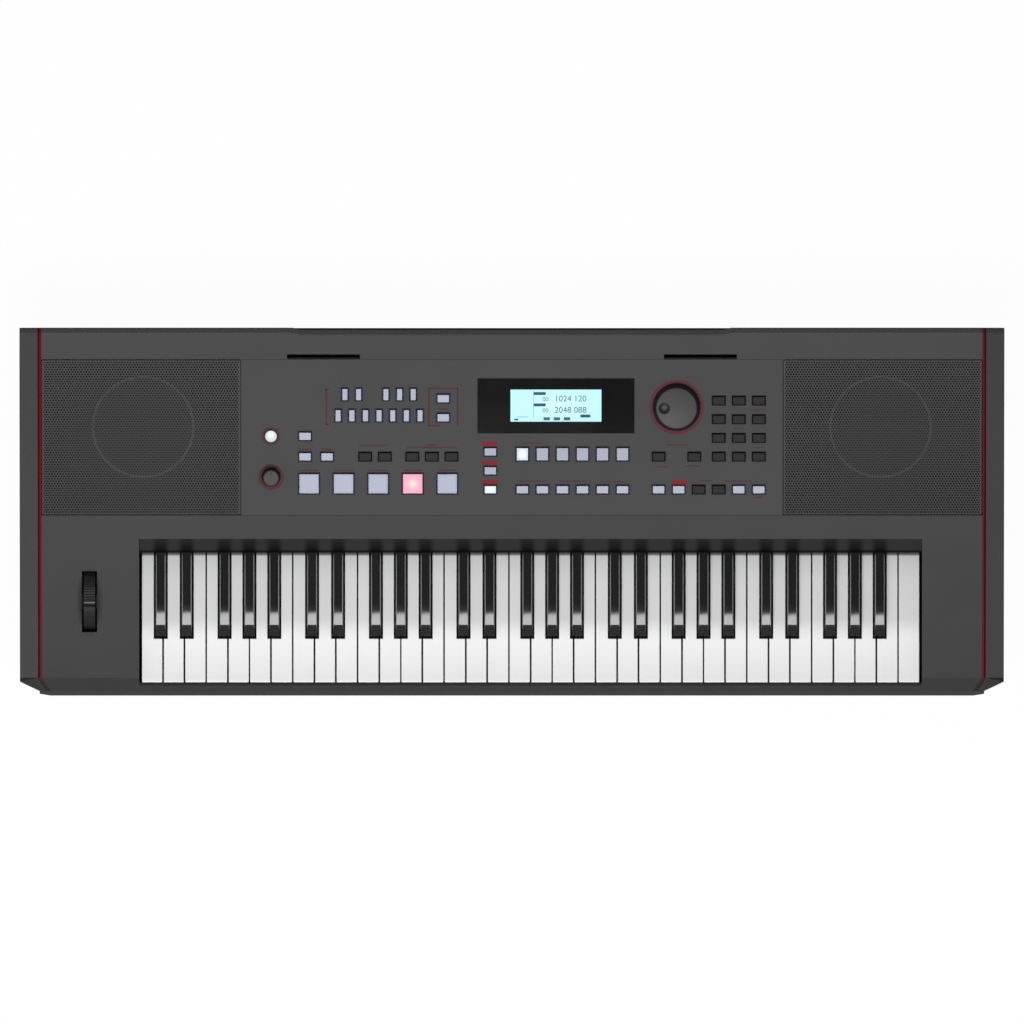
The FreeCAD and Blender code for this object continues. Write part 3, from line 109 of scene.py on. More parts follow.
class Side(Enum):
    """Ends of the case."""

    BASS = -1
    TREBLE = 1

    @property
    def word(self) -> str:
        """Name of the end, for piece names."""
        return self.name.lower()


def linear(tone: Tone) -> Colour:
    """Turn a screen colour into a shader colour.

    Args:
        tone: Red, green and blue, as a screen shows them.

    Returns:
        The same colour in linear light, with full alpha.
    """
    parts = [value / 255 for value in tone]
    return (*[part / 12.92 if part <= 0.04045 else ((part + 0.055) / 1.055) ** 2.4 for part in parts], 1.0)


def scaled(colour: Colour, factor: float) -> Colour:
    """Lighter or darker copy of a shader colour."""
    return (*[min(1.0, part * factor) for part in colour[:3]], 1.0)


# Bench: the modelling steps that the pieces share


def begin() -> None:
    """Leave edit mode with nothing selected."""
    if bpy.context.object and bpy.context.object.mode != "OBJECT":
        bpy.ops.object.mode_set(mode="OBJECT")
    bpy.ops.object.select_all(action="DESELECT")


def edit(kind: str = "FACE") -> None:
    """Enter edit mode on the active piece with everything selected.

    Args:
        kind: What is selected by: VERT, EDGE or FACE.
    """
    bpy.ops.object.mode_set(mode="EDIT")
    bpy.ops.mesh.select_mode(type=kind)
    bpy.ops.mesh.select_all(action="SELECT")


def pick(piece: Piece, test: Callable[[bpy.types.MeshPolygon], bool]) -> None:
    """Select faces of a piece in edit mode.

    Args:
        piece: Active piece.
        test: True for each face to be selected.
    """
    bpy.ops.mesh.select_mode(type="FACE")
    bpy.ops.mesh.select_all(action="DESELECT")
    bpy.ops.object.mode_set(mode="OBJECT")
    for polygon in piece.data.polygons:
        polygon.select = test(polygon)
    bpy.ops.object.mode_set(mode="EDIT")


def extrude(x: float, y: float, z: float) -> None:
    """Extrude the selection by a step in millimetres."""
    bpy.ops.mesh.extrude_region_move(TRANSFORM_OT_translate={"value": (x * MM, y * MM, z * MM)})


def bevel(width: float) -> None:
    """Bevel the selected edges over a width in millimetres."""
    bpy.ops.mesh.bevel(offset=width * MM, segments=2, affect="EDGES")


def close_up() -> None:
    """Merge doubles, turn all faces outwards and leave edit mode."""
    bpy.ops.mesh.select_all(action="SELECT")
    bpy.ops.mesh.remove_doubles(threshold=WELD)
    bpy.ops.mesh.normals_make_consistent(inside=False)
    bpy.ops.object.mode_set(mode="OBJECT")


def at(x: float, y: float, z: float = 0.0) -> Matrix:
    """Place in millimetres."""
    return Matrix.Translation(Vector((x, y, z)) * MM)


def put(piece: Piece, place: Matrix) -> Piece:
    """Move a piece and write its place into its mesh.

    Args:
        piece: Piece modelled round the origin.
        place: Where its origin goes.

    Returns:
        The piece.
    """
    begin()
    piece.matrix_world = place @ piece.matrix_world
    piece.select_set(True)
    bpy.context.view_layer.objects.active = piece
    bpy.ops.object.transform_apply(location=True, rotation=True, scale=True)
    return piece


def named(name: str) -> Piece:
    """Name the active piece and its mesh.

    Args:
        name: Name of both.

    Returns:
        The piece.
    """
    piece = bpy.context.object
    piece.name = name
    piece.data.name = name
    return piece


def modify(piece: Piece, name: str, kind: str, **settings: object) -> str:
    """Add a live modifier to a piece.

    Args:
        piece: CAD node or new piece.
        name: Name of the modifier.
        kind: Blender's name of its type.
        settings: Values for its properties.

    Returns:
        The modifier's name.
    """
    made = piece.modifiers.new(name, kind)
    for key, value in settings.items():
        setattr(made, key, value)
    return made.name


def lathe(name: str, profile: Profile, steps: int = 64) -> Piece:
    """Spin a profile round the Z axis.

    Args:
        name: Name of the piece.
        profile: Points of half a section through it.
        steps: Number of steps round the axis.

    Returns:
        A closed, smooth piece round the origin.
    """
    begin()
    bpy.ops.mesh.primitive_plane_add(size=MM)
    piece = named(name)
    edit("VERT")
    bpy.ops.mesh.merge(type="CENTER")
    bpy.ops.transform.translate(value=(profile[0][0] * MM, 0, profile[0][1] * MM))
    for (r0, z0), (r1, z1) in zip(profile, profile[1:]):
        extrude(r1 - r0, 0, z1 - z0)
    bpy.ops.mesh.select_all(action="SELECT")
    bpy.ops.mesh.spin(steps=steps, angle=2 * math.pi, center=(0, 0, 0), axis=(0, 0, 1))
    close_up()
    bpy.ops.object.shade_smooth_by_angle(angle=math.radians(SMOOTH))
    return piece


def flat(name: str, size: Pair, height: float = 0.0) -> Piece:
    """Start a piece as a rectangle round the Z axis; sizes in millimetres.

    Args:
        name: Name of the piece.
        size: Lengths along X and Y.
        height: Its height.

    Returns:
        The piece, in edit mode with everything selected.
    """
    begin()
    bpy.ops.mesh.primitive_plane_add(size=MM, location=(0, 0, height * MM))
    piece = named(name)
    edit()
    bpy.ops.transform.resize(value=(*size, 1))
    return piece


def tablet(name: str, size: Pair, low: float, high: float, edge: float = 0.0) -> Piece:
    """Thin block round the Z axis; sizes in millimetres.

    Args:
        name: Name of the piece.
        size: Lengths along X and Y.
        low: Height of its underside.
        high: Height of its top.
        edge: Width of the bevel round its top, or zero for sharp edges.

    Returns:
        The block.
    """
    piece = flat(name, size, low)
    extrude(0, 0, high - low)
    if edge:
        pick(piece, lambda face: face.normal.z > FACING)
        bevel(edge)
    close_up()
    return piece


def outline(name: str, size: Pair, line: float, rise: float) -> Piece:
    """Rectangular frame round the Z axis; sizes in millimetres.

    Args:
        name: Name of the piece.
        size: Lengths of its inside along X and Y.
        line: Width of the frame.
        rise: Height of the frame, below zero for one that goes down.

    Returns:
        The frame.
    """
    piece = flat(name, (size[0] + 2 * line, size[1] + 2 * line))
    bpy.ops.mesh.inset(thickness=line * MM)
    bpy.ops.mesh.delete(type="FACE")
    bpy.ops.mesh.select_all(action="SELECT")
    extrude(0, 0, rise)
    close_up()
    return piece


def joined(name: str, pieces: list[Piece]) -> Piece:
    """Make one piece of several.

    Args:
        name: Name of the new piece.
        pieces: Pieces that have their places in their meshes.

    Returns:
        The new piece.
    """
    begin()
    for piece in pieces:
        piece.select_set(True)
    bpy.context.view_layer.objects.active = pieces[0]
    if len(pieces) > 1:
        bpy.ops.object.join()
    return named(name)


def copies(model: Piece, name: str, places: Iterable[Matrix]) -> Piece:
    """Copy a piece to several places, each copy with its own mesh, and join the copies.

    Args:
        model: Piece modelled round the origin; it is used up.
        name: Name of the joined piece.
        places: Where each copy goes.

    Returns:
        The joined piece.
    """
    made = []
    for place in places:
        twin = model.copy()
        twin.data = model.data.copy()
        bpy.context.collection.objects.link(twin)
        made.append(put(twin, place))
    bpy.data.objects.remove(model)
    return joined(name, made)


# Finishes


class Nodes:
    """Helper that adds nodes to a tree."""

    def __init__(self, tree: bpy.types.NodeTree) -> None:
        """Work on a tree."""
        self.tree = tree

    def node(self, kind: str, inputs: dict | None = None, **settings: object) -> bpy.types.Node:
        """Add a node.

        Args:
            kind: Blender's name of the node type.
            inputs: Values or output sockets for the node's inputs, by name or number.
            settings: Values for the node's own properties.

        Returns:
            The node.
        """
        made = self.tree.nodes.new(kind)
        for key, value in settings.items():
            setattr(made, key, value)
        for key, value in (inputs or {}).items():
            self.feed(made.inputs[key], value)
        return made

    def feed(self, socket: Socket, value: object) -> None:
        """Give a socket its value.

        Args:
            socket: Input of a node.
            value: Output to link to it, or a value of its own.
        """
        if isinstance(value, Socket):
            self.tree.links.new(value, socket)
        else:
            socket.default_value = value

    def math(self, operation: str, first: object, second: object = 0.0) -> Socket:
        """Work out a value from two others."""
        return self.node("ShaderNodeMath", {0: first, 1: second}, operation=operation).outputs[0]

    def mix(self, share: object, first: object, second: object, blend: str = "MIX") -> Socket:
        """Mix two colours.

        Args:
            share: Part of the second colour, from 0 to 1.
            first: Colour or output socket.
            second: Colour or output socket.
            blend: Blender's name of the way to mix them.

        Returns:
            The mixed colour.
        """
        made = self.node("ShaderNodeMix", data_type="RGBA", blend_type=blend)
        for name, value in (("Factor", share), ("A", first), ("B", second)):
            self.feed(made.inputs[name], value)
        return made.outputs["Result"]

    def dimmed(self, colour: object, share: Socket) -> Socket:
        """Part of a colour that a share from 0 to 1 leaves."""
        return self.mix(1.0, colour, share, "MULTIPLY")

    def spread(self, value: object, low: float, high: float, start: float = 0.0, end: float = 1.0) -> Socket:
        """Map a value between a start and an end on to a range.

        Args:
            value: Value or output socket.
            low: Result at the start.
            high: Result at the end.
            start: First value of the stretch that is mapped.
            end: Last value of it.

        Returns:
            The mapped value.
        """
        inputs = {"Value": value, "From Min": start, "From Max": end, "To Min": low, "To Max": high}
        return self.node("ShaderNodeMapRange", inputs).outputs["Result"]

    def axis(self, name: str, source: str = "Object") -> Socket:
        """One axis of the object coordinates, or of another output of the coordinates node."""
        seat = self.node("ShaderNodeTexCoord").outputs[source]
        return self.node("ShaderNodeSeparateXYZ", {0: seat}).outputs[name]

    def coordinates(self, place: Matrix | None = None) -> Socket:
        """Object coordinates.

        Args:
            place: Where they are measured from and along whose axes, if not the object's own.

        Returns:
            The coordinates.
        """
        seat = self.node("ShaderNodeTexCoord").outputs["Object"]
        if place is None:
            return seat
        inputs = {"Vector": seat, "Location": place.translation, "Rotation": place.to_euler()}
        return self.node("ShaderNodeMapping", inputs, vector_type="TEXTURE").outputs["Vector"]

    def effect(self, tree: bpy.types.NodeTree, place: Matrix | None, **values: object) -> bpy.types.Node:
        """Place a shared effect; underscores in the names of its values stand for spaces."""
        inputs = {key.replace("_", " "): value for key, value in values.items()}
        return self.node("ShaderNodeGroup", {"Vector": self.coordinates(place), **inputs}, node_tree=tree)

    def rectangle(self, place: Matrix | None, half: Pair, line: float = 0.1) -> Ends:
        """Masks of a rectangle, with its half width and half depth in millimetres."""
        across, along = half[0] * MM, half[1] * MM
        return self.effect(Effect.rectangle(), place, Half_width=across, Half_depth=along, Line=line).outputs

    def disc(self, place: Matrix | None, radius: float, soft: float) -> Socket:
        """Mask of a disc, with its radius and its soft edge in millimetres."""
        made = self.effect(Effect.disc(), place, Radius=radius * MM, Soft_edge=soft * MM)
        return made.outputs["Inside"]


class Shader(Nodes):
    """Material under construction."""

    def __init__(self, name: str) -> None:
        """Start a material with a plain principled shader.

        Args:
            name: Name of the material.
        """
        self.material = bpy.data.materials.new(name)
        self.material.use_nodes = True
        super().__init__(self.material.node_tree)
        self.body = self.tree.nodes["Principled BSDF"]

    def set(self, **values: object) -> None:
        """Set or link inputs of the principled shader; underscores stand for spaces."""
        for key, value in values.items():
            self.feed(self.body.inputs[key.replace("_", " ")], value)


class Effect:
    """Shared effects, each a node group that is built once."""

    fine_share: float = 0.55  # part of the fine grain in the tint
    fine_detail: float = 3.0
    broad_detail: float = 2.0

    @staticmethod
    def start(name: str, values: list[str], results: list[str]) -> tuple[Nodes, Ends, Ends]:
        """Begin a node group that works on a vector.

        Args:
            name: Name of the effect.
            values: Names of its other inputs, which are all values.
            results: Names of its outputs, which are all values.

        Returns:
            A helper on the group, the sockets that bring its inputs and those that take its outputs.
        """
        tree = bpy.data.node_groups.new(name, "ShaderNodeTree")
        tree.interface.new_socket("Vector", in_out="INPUT", socket_type="NodeSocketVector")
        for way, labels in (("INPUT", values), ("OUTPUT", results)):
            for label in labels:
                tree.interface.new_socket(label, in_out=way, socket_type="NodeSocketFloat")
        make = Nodes(tree)
        return make, make.node("NodeGroupInput").outputs, make.node("NodeGroupOutput").inputs

    @staticmethod
    @cache
    def grain() -> bpy.types.NodeTree:
        """Fine moulded grain over a broad, slow change of tone.

        Returns:
            The node group.
        """
        make, source, end = Effect.start("moulded grain", ["Fine", "Broad"], ["Tint", "Height"])
        noise = {}
        for scale, detail in (("Fine", Effect.fine_detail), ("Broad", Effect.broad_detail)):
            inputs = {"Vector": source["Vector"], "Scale": source[scale], "Detail": detail}
            noise[scale] = make.node("ShaderNodeTexNoise", inputs).outputs[0]
        share = make.math("MULTIPLY", noise["Fine"], Effect.fine_share)
        rest = make.math("MULTIPLY", noise["Broad"], 1 - Effect.fine_share)
        make.feed(end["Tint"], make.math("ADD", share, rest))
        make.feed(end["Height"], noise["Fine"])
        return make.tree

    @staticmethod
    @cache
    def rectangle() -> bpy.types.NodeTree:
        """Rectangle round the origin: its inside, a line just inside its edge and its soft middle.

        Returns:
            The node group.
        """
        values = ["Half width", "Half depth", "Line"]
        make, source, end = Effect.start("rectangle", values, ["Inside", "Edge line", "Middle"])
        split = make.node("ShaderNodeSeparateXYZ", {0: source["Vector"]}).outputs
        across = make.math("DIVIDE", make.math("ABSOLUTE", split[0]), source["Half width"])
        along = make.math("DIVIDE", make.math("ABSOLUTE", split[1]), source["Half depth"])
        far = make.math("MAXIMUM", across, along)
        inside = make.math("LESS_THAN", far, 1.0)
        edge = make.math("GREATER_THAN", far, make.math("SUBTRACT", 1.0, source["Line"]))
        squares = [make.math("POWER", part, 2.0) for part in (across, along)]
        round_far = make.math("SQRT", make.math("ADD", *squares))
        middle = make.math("MAXIMUM", make.math("SUBTRACT", 1.0, round_far), 0.0)
        make.feed(end["Inside"], inside)
        make.feed(end["Edge line"], make.math("MULTIPLY", inside, edge))
        make.feed(end["Middle"], make.math("MULTIPLY", middle, inside))
        return make.tree

    @staticmethod
    @cache
    def disc() -> bpy.types.NodeTree:
        """Disc round the Z axis: 1 inside its radius, and falling to 0 over its soft edge.

        Returns:
            The node group.
        """
        make, source, end = Effect.start("disc", ["Radius", "Soft edge"], ["Inside"])
        split = make.node("ShaderNodeSeparateXYZ", {0: source["Vector"]}).outputs
        squares = [make.math("MULTIPLY", split[axis], split[axis]) for axis in (0, 1)]
        far = make.math("SQRT", make.math("ADD", *squares))
        fall = make.math("DIVIDE", make.math("SUBTRACT", source["Radius"], far), source["Soft edge"])
        make.feed(end["Inside"], make.node("ShaderNodeClamp", {"Value": fall}).outputs[0])
        return make.tree


@dataclass(frozen=True)
class Finish:
    """Plain surface with a moulded grain."""

    name: str
    tone: Tone
    rough: float = 0.5
    vary: float = 0.08  # how far the grain lightens and darkens the tone
    fine: float = 900.0  # grains in a metre
    broad: float = 14.0  # slow changes of tone in a metre
    bump: float = 0.12
    depth: float = 0.06  # height of the grain in millimetres
    metal: float = 0.0
    gloss: float = 0.5  # specular level
    sheen: float = 0.08  # how far the grain changes the roughness
    fade: Pair = (1.0, 1.0)  # painted shade and light: share of the tone at the front and rear edges of the case
    front: float = 1.0  # painted shade: share of the tone on the slope ahead of the crease
    crease: float = -180.2  # front crease of the case, in millimetres

    def material(self) -> bpy.types.Material:
        """Build the material, or find it if it has been built.

        Returns:
            The material.
        """
        known = bpy.data.materials.get(self.name)
        if known:
            return known
        shader = Shader(self.name)
        self.shade(shader)
        return shader.material

    def shade(self, shader: Shader) -> None:
        """Link the grain to colour, roughness and bump.

        Args:
            shader: Material under construction.
        """
        grain = shader.effect(Effect.grain(), None, Fine=self.fine, Broad=self.broad).outputs
        shader.set(Base_Color=self.colour(shader, grain["Tint"]))
        rough = shader.spread(grain["Tint"], self.rough - self.sheen, self.rough + self.sheen)
        inputs = {"Height": grain["Height"], "Strength": self.bump, "Distance": self.depth * MM}
        shader.set(Roughness=rough, Metallic=self.metal, Specular_IOR_Level=self.gloss)
        shader.set(Normal=shader.node("ShaderNodeBump", inputs).outputs[0])

    def colour(self, shader: Shader, tint: Socket) -> Socket:
        """Colour over the surface, which the finishes for one kind of piece add to."""
        return self.shaded(shader, self.grained(shader, tint, self.tone))

    def grained(self, shader: Shader, tint: Socket, tone: Tone) -> Socket:
        """Tone that runs from dark grain to light grain."""
        base = linear(tone)
        return shader.mix(tint, scaled(base, 1 - 2 * self.vary), scaled(base, 1 + 2 * self.vary))

    def shaded(self, shader: Shader, colour: Socket) -> Socket:
        """Colour after the painted shade from front to rear and at the crease.

        Args:
            shader: Material under construction.
            colour: Colour before them.

        Returns:
            The colour after them.
        """
        # painted shade and light: the tone changes from the front edge to the rear edge
        if self.fade != (1.0, 1.0):
            share = shader.spread(shader.axis("Y"), *self.fade, -HALF_DEPTH * MM, HALF_DEPTH * MM)
            colour = shader.dimmed(colour, share)
        # painted shade on the slope ahead of the crease
        if self.front != 1.0:
            behind = shader.math("GREATER_THAN", shader.axis("Y"), self.crease * MM)
            colour = shader.dimmed(colour, shader.spread(behind, self.front, 1.0))
        return colour


@dataclass(frozen=True)
class KeyFinish(Finish):
    """Key plastic with painted shade: darker on its sides down in the gaps, shaded along the key, and a
    painted shadow under the strip at its rear.
    """

    # tone of the painted shade on the sides of the keys, down in the gaps between them
    flank_shade: Tone = (100, 100, 101)
    turn: float = 0.3  # a face that turns sideways by more than this gets the painted shade
    run: tuple[Pair, ...] = (  # painted shade: places along the key in millimetres, with the share of the tone there
        (-180.0, 0.85), (-140.0, 0.99), (-130.0, 0.95), (-116.0, 0.79), (-75.0, 0.79), (-55.0, 0.73),
        (-48.4, 0.7), (-47.2, 0.45), (-46.0, 0.09))

    def colour(self, shader: Shader, tint: Socket) -> Socket:
        """Plain finish, and the painted shade's tone where the surface turns sideways.

        Args:
            shader: Material under construction.
            tint: Grain from dark to light.

        Returns:
            The colour.
        """
        sideways = shader.math("ABSOLUTE", shader.axis("X", "Normal"))
        turned = shader.math("GREATER_THAN", sideways, self.turn)
        return shader.mix(turned, super().colour(shader, tint), linear(self.flank_shade))

    def shaded(self, shader: Shader, colour: Socket) -> Socket:
        """Colour after the painted shade along the key, from its front to the strip.

        Args:
            shader: Material under construction.
            colour: Colour before it.

        Returns:
            The colour after it.
        """
        front, rear = self.run[0][0], self.run[-1][0]
        along = shader.spread(shader.axis("Y"), 0.0, 1.0, front * MM, rear * MM)
        ramp = shader.node("ShaderNodeValToRGB", {0: along})
        stops = ramp.color_ramp.elements
        for place, _ in self.run[1:-1]:
            stops.new((place - front) / (rear - front))
        for stop, (_, share) in zip(stops, self.run):
            stop.color = (share, share, share, 1.0)
        return shader.dimmed(colour, ramp.outputs["Color"])


@dataclass(frozen=True)
class StripFinish(Finish):
    """Strip with painted shade close behind every black key; places in millimetres."""

    narrow: float = 4.3  # half width of the darkest part
    wide: float = 10.0  # half width of the whole painted shade
    rear: Pair = (-29.4, 0.4)  # edge of the strip, and the depth of the painted shade there
    near: Pair = (-44.3, 0.93)

    def shaded(self, shader: Shader, colour: Socket) -> Socket:
        """Colour after the painted shade at the crease and behind the keys.

        Args:
            shader: Material under construction.
            colour: Colour before them.

        Returns:
            The colour after them.
        """
        start = shader.math("SUBTRACT", shader.axis("X"), KEYS_LEFT * MM)
        inside = shader.math("LESS_THAN", start, OCTAVES * OCTAVE * MM)
        place = shader.math("MODULO", start, OCTAVE * MM)
        close: object = 0.0
        for key in Black:
            away = shader.math("ABSOLUTE", shader.math("SUBTRACT", place, key.value * MM))
            spot = shader.spread(away, 0.0, 1.0, self.wide * MM, self.narrow * MM)
            close = shader.math("MAXIMUM", close, spot)
        (rear, least), (near, most) = self.rear, self.near
        along = shader.spread(shader.axis("Y"), least, most, rear * MM, near * MM)
        shade = shader.math("MULTIPLY", shader.math("MULTIPLY", inside, close), along)
        return shader.dimmed(super().shaded(shader, colour), shader.math("SUBTRACT", 1.0, shade))


@dataclass(frozen=True)
class TrimFinish(Finish):
    """Strip with painted shade: its outer half is darker than its inner one."""

    # tone of the painted shade on the outer half
    outer: Tone = (72, 8, 12)
    middle: float = 513.0  # where the two halves meet, in millimetres from the middle of the case

    def colour(self, shader: Shader, tint: Socket) -> Socket:
        """Plain finish inside the middle line and the painted shade's outer tone beyond it.

        Args:
            shader: Material under construction.
            tint: Grain from dark to light.

        Returns:
            The colour.
        """
        beyond = shader.math("GREATER_THAN", shader.math("ABSOLUTE", shader.axis("X")), self.middle * MM)
        outer = self.shaded(shader, self.grained(shader, tint, self.outer))
        return shader.mix(beyond, super().colour(shader, tint), outer)


@dataclass(frozen=True)
class CaseFinish(Finish):
    """Case moulding with painted shade round the pitch wheel."""

    # middle of the painted shade round the pitch wheel
    wheel_shade: Pair = (-458.9, -97.5)
    half: Pair = (15.0, 40.0)  # of the painted shade round the wheel, in millimetres
    gain: float = 1.6  # how fast the painted shade grows towards its middle
    most: float = 0.6  # deepest share of the painted shade
    dark: float = 0.2  # tone of the painted shade, as a share of the case's tone

    def colour(self, shader: Shader, tint: Socket) -> Socket:
        """Plain finish, with painted shade round the pitch wheel.

        Args:
            shader: Material under construction.
            tint: Grain from dark to light.

        Returns:
            The colour.
        """
        middle = shader.rectangle(at(*self.wheel_shade), self.half)["Middle"]
        shade = shader.math("MINIMUM", shader.math("MULTIPLY", middle, self.gain), self.most)
        return shader.mix(shade, super().colour(shader, tint), scaled(linear(self.tone), self.dark))


@dataclass(frozen=True)
class DialFinish(Finish):
    """Dark skirt round a paler top, with an optional ring of painted shade in its dimple; sizes in
    millimetres.
    """

    place: Matrix | None = None
    radius: float = 22.2  # of the paler top
    soft: float = 0.4
    top: Tone = (72, 72, 72)
    dimple: Matrix | None = None
    ring: tuple[Pair, Pair] = ((6.6, 1.2), (3.6, 2.4))  # painted shade in the dimple: outer and inner radius, each with its soft edge

    def colour(self, shader: Shader, tint: Socket) -> Socket:
        """Plain finish outside the radius and the top's tone inside it, with painted shade in the dimple.

        Args:
            shader: Material under construction.
            tint: Grain from dark to light.

        Returns:
            The colour.
        """
        skirt = super().colour(shader, tint)
        top = self.grained(shader, tint, self.top)
        if self.dimple:
            discs = [shader.disc(self.dimple, *edge) for edge in self.ring]
            top = shader.mix(shader.math("SUBTRACT", *discs), top, skirt)
        return shader.mix(shader.disc(self.place, self.radius, self.soft), skirt, top)


@dataclass(frozen=True)
class CapFinish(Finish):
    """Button cap with painted shade on its chamfers and sides."""

    # tone of the painted shade on the chamfers and sides
    side: Tone = (54, 58, 76)
    slope: tuple[float, float, float] = (0.0, -0.1288, 0.9917)  # way that the tops of the caps face
    level: float = 0.95  # a face that turns further from the slope than this is a side

    def colour(self, shader: Shader, tint: Socket) -> Socket:
        """Plain finish on the top and the painted shade's side tone where the surface turns from it.

        Args:
            shader: Material under construction.
            tint: Grain from dark to light.

        Returns:
            The colour.
        """
        inputs = {0: shader.node("ShaderNodeTexCoord").outputs["Normal"], 1: self.slope}
        facing = shader.node("ShaderNodeVectorMath", inputs, operation="DOT_PRODUCT").outputs["Value"]
        turned = shader.math("LESS_THAN", facing, self.level)
        return shader.mix(turned, super().colour(shader, tint), linear(self.side))


@dataclass(frozen=True)
class PlacedFinish(CapFinish):
    """Cap finish that marks out one rectangle of its node."""

    place: Matrix | None = None
    half: Pair = (6.0, 3.9)  # half width and half depth of the rectangle, in millimetres
    line: float = 0.1  # share of the rectangle that the line inside its edge takes up


@dataclass(frozen=True)
class LitFinish(PlacedFinish):
    """Translucent cap that a lamp lights from below, over the rectangle or over a disc."""

    glow: Tone = (190, 200, 200)
    core: Tone = (240, 250, 250)
    focus: float = 1.0  # how closely the core is gathered
    strength: float = 0.7
    round: bool = False
    soft: float = 0.6  # edge of a disc

    def shade(self, shader: Shader) -> None:
        """Add the lamp's glow to the plain finish.

        Args:
            shader: Material under construction.
        """
        super().shade(shader)
        spot = shader.rectangle(self.place, self.half, self.line)
        gathered = shader.math("POWER", spot["Middle"], self.focus)
        lit = shader.mix(gathered, linear(self.glow), linear(self.core))
        inside = shader.disc(self.place, self.half[0], self.soft) if self.round else spot["Inside"]
        shader.set(Emission_Color=shader.mix(inside, UNLIT, lit), Emission_Strength=self.strength)


@dataclass(frozen=True)
class PadFinish(PlacedFinish):
    """Pad cap with a moulded line inside its edge."""

    line: float = 0.06
    groove: Tone = (158, 164, 184)

    def shade(self, shader: Shader) -> None:
        """Draw the moulded line on the plain finish.

        Args:
            shader: Material under construction.
        """
        super().shade(shader)
        spot = shader.rectangle(self.place, self.half, self.line)
        plain = shader.body.inputs["Base Color"].links[0].from_socket
        shader.set(Base_Color=shader.mix(spot["Edge line"], plain, linear(self.groove)))


@dataclass(frozen=True)
class WindowFinish(PlacedFinish):
    """Smoked glossy lens with a clear rectangle over the screen."""

    clear: float = 0.05  # alpha over the screen

    def shade(self, shader: Shader) -> None:
        """Clear the rectangle and leave the rest black.

        Args:
            shader: Material under construction.
        """
        super().shade(shader)
        spot = shader.rectangle(self.place, self.half, self.line)
        shader.set(Alpha=shader.spread(spot["Inside"], 1.0, self.clear))


# Below, the shares towards the front edge and ahead of the crease are painted shade on the case, end caps,
# strips and grille sheet.
CHARCOAL = CaseFinish("charcoal moulding", (78, 78, 79), 0.6, gloss=0.03, fade=(0.7, 0.98), front=0.5)
PANEL = Finish("panel moulding", (75, 75, 76), 0.6, fine=1100.0, gloss=0.06)
END_CAP = Finish("satin end moulding", (74, 74, 75), 0.55, gloss=0.02, front=0.34)
TRAY = Finish("dark tray moulding", (50, 50, 52), 0.6, gloss=0.03)
RED_STRIP = TrimFinish("dark red satin strip", (110, 30, 33), 0.4, 0.05, bump=0.03, gloss=0.01, front=0.15)
DARK_STRIP = StripFinish("dark sloping strip", (46, 46, 47), 0.4, gloss=0.02, front=0.3, crease=-41.6)
RUBBER = Finish("black rubber", (30, 30, 31), 0.8, fine=500.0, bump=0.3, gloss=0.2)
GREY_RUBBER = Finish("moulded silicone", (120, 121, 124), 0.7)
SHEET = Finish("painted grille sheet", (79, 79, 80), 0.5, 0.05, bump=0.05, gloss=0.08, fade=(0.58, 1.06))
CLOTH = Finish("black speaker cloth", (58, 58, 58), 0.95, 0.15, 1500.0, bump=0.5, depth=0.2, gloss=0.05)
BLACK_PAINT = Finish("black stove paint", (36, 36, 37), 0.45, gloss=0.3)
CONE_PAPER = Finish("coated cone paper", (34, 34, 35), 0.75, fine=380.0, bump=0.35, gloss=0.1)
GASKET = Finish("grey gasket", (84, 84, 85), 0.6, gloss=0.1)
DARK_GASKET = Finish("dark gasket", (68, 68, 69), 0.6, gloss=0.05)
FERRITE = Finish("bare ferrite", (70, 69, 68), 0.65, fine=300.0, bump=0.3)
BOARD = Finish("green circuit board", (22, 84, 52), 0.4, fine=160.0, broad=40.0, bump=0.1)
STEEL = Finish("plated sheet", (196, 197, 200), 0.32, 0.05, 300.0, bump=0.05, metal=1.0)
NICKEL = Finish("dull nickel", (112, 110, 106), 0.4, 0.05, 300.0, bump=0.05, metal=1.0)
FRAME_PLASTIC = Finish("dark frame moulding", (30, 30, 32), 0.6, gloss=0.1)
FELT = Finish("dark wool felt", (40, 36, 38), 0.95, 0.2, 1500.0, bump=0.6, depth=0.3, gloss=0.05)
SOCKET_PLASTIC = Finish("black socket moulding", (24, 24, 25), 0.45, gloss=0.3)
WHEEL = Finish("wheel moulding", (34, 34, 35), 0.45, gloss=0.12)
# painted highlight: a pale strip where the wheel's groove catches the light
WHEEL_HIGHLIGHT = Finish("painted groove highlight", (116, 116, 117), 0.5, gloss=0.1)
# The side tones of the caps are painted shade on their chamfers and sides.
LIGHT_CAP = CapFinish("pale button cap", (174, 179, 197), 0.45, 0.03, bump=0.04, gloss=0.2)
DARK_CAP = CapFinish("dark button cap", (44, 44, 44), 0.5, 0.06, gloss=0.08, side=(26, 26, 26))
# The white keys take the key finish's painted shade on their sides and along the keys.
WHITE_KEY = KeyFinish("satin white key", (240, 240, 240), 0.3, 0.008, 60.0, 8.0, bump=0.01, gloss=0.3)
BLACK_KEY = Finish("satin black key", (21, 21, 21), 0.14, fine=1300.0, bump=0.02, gloss=0.6)
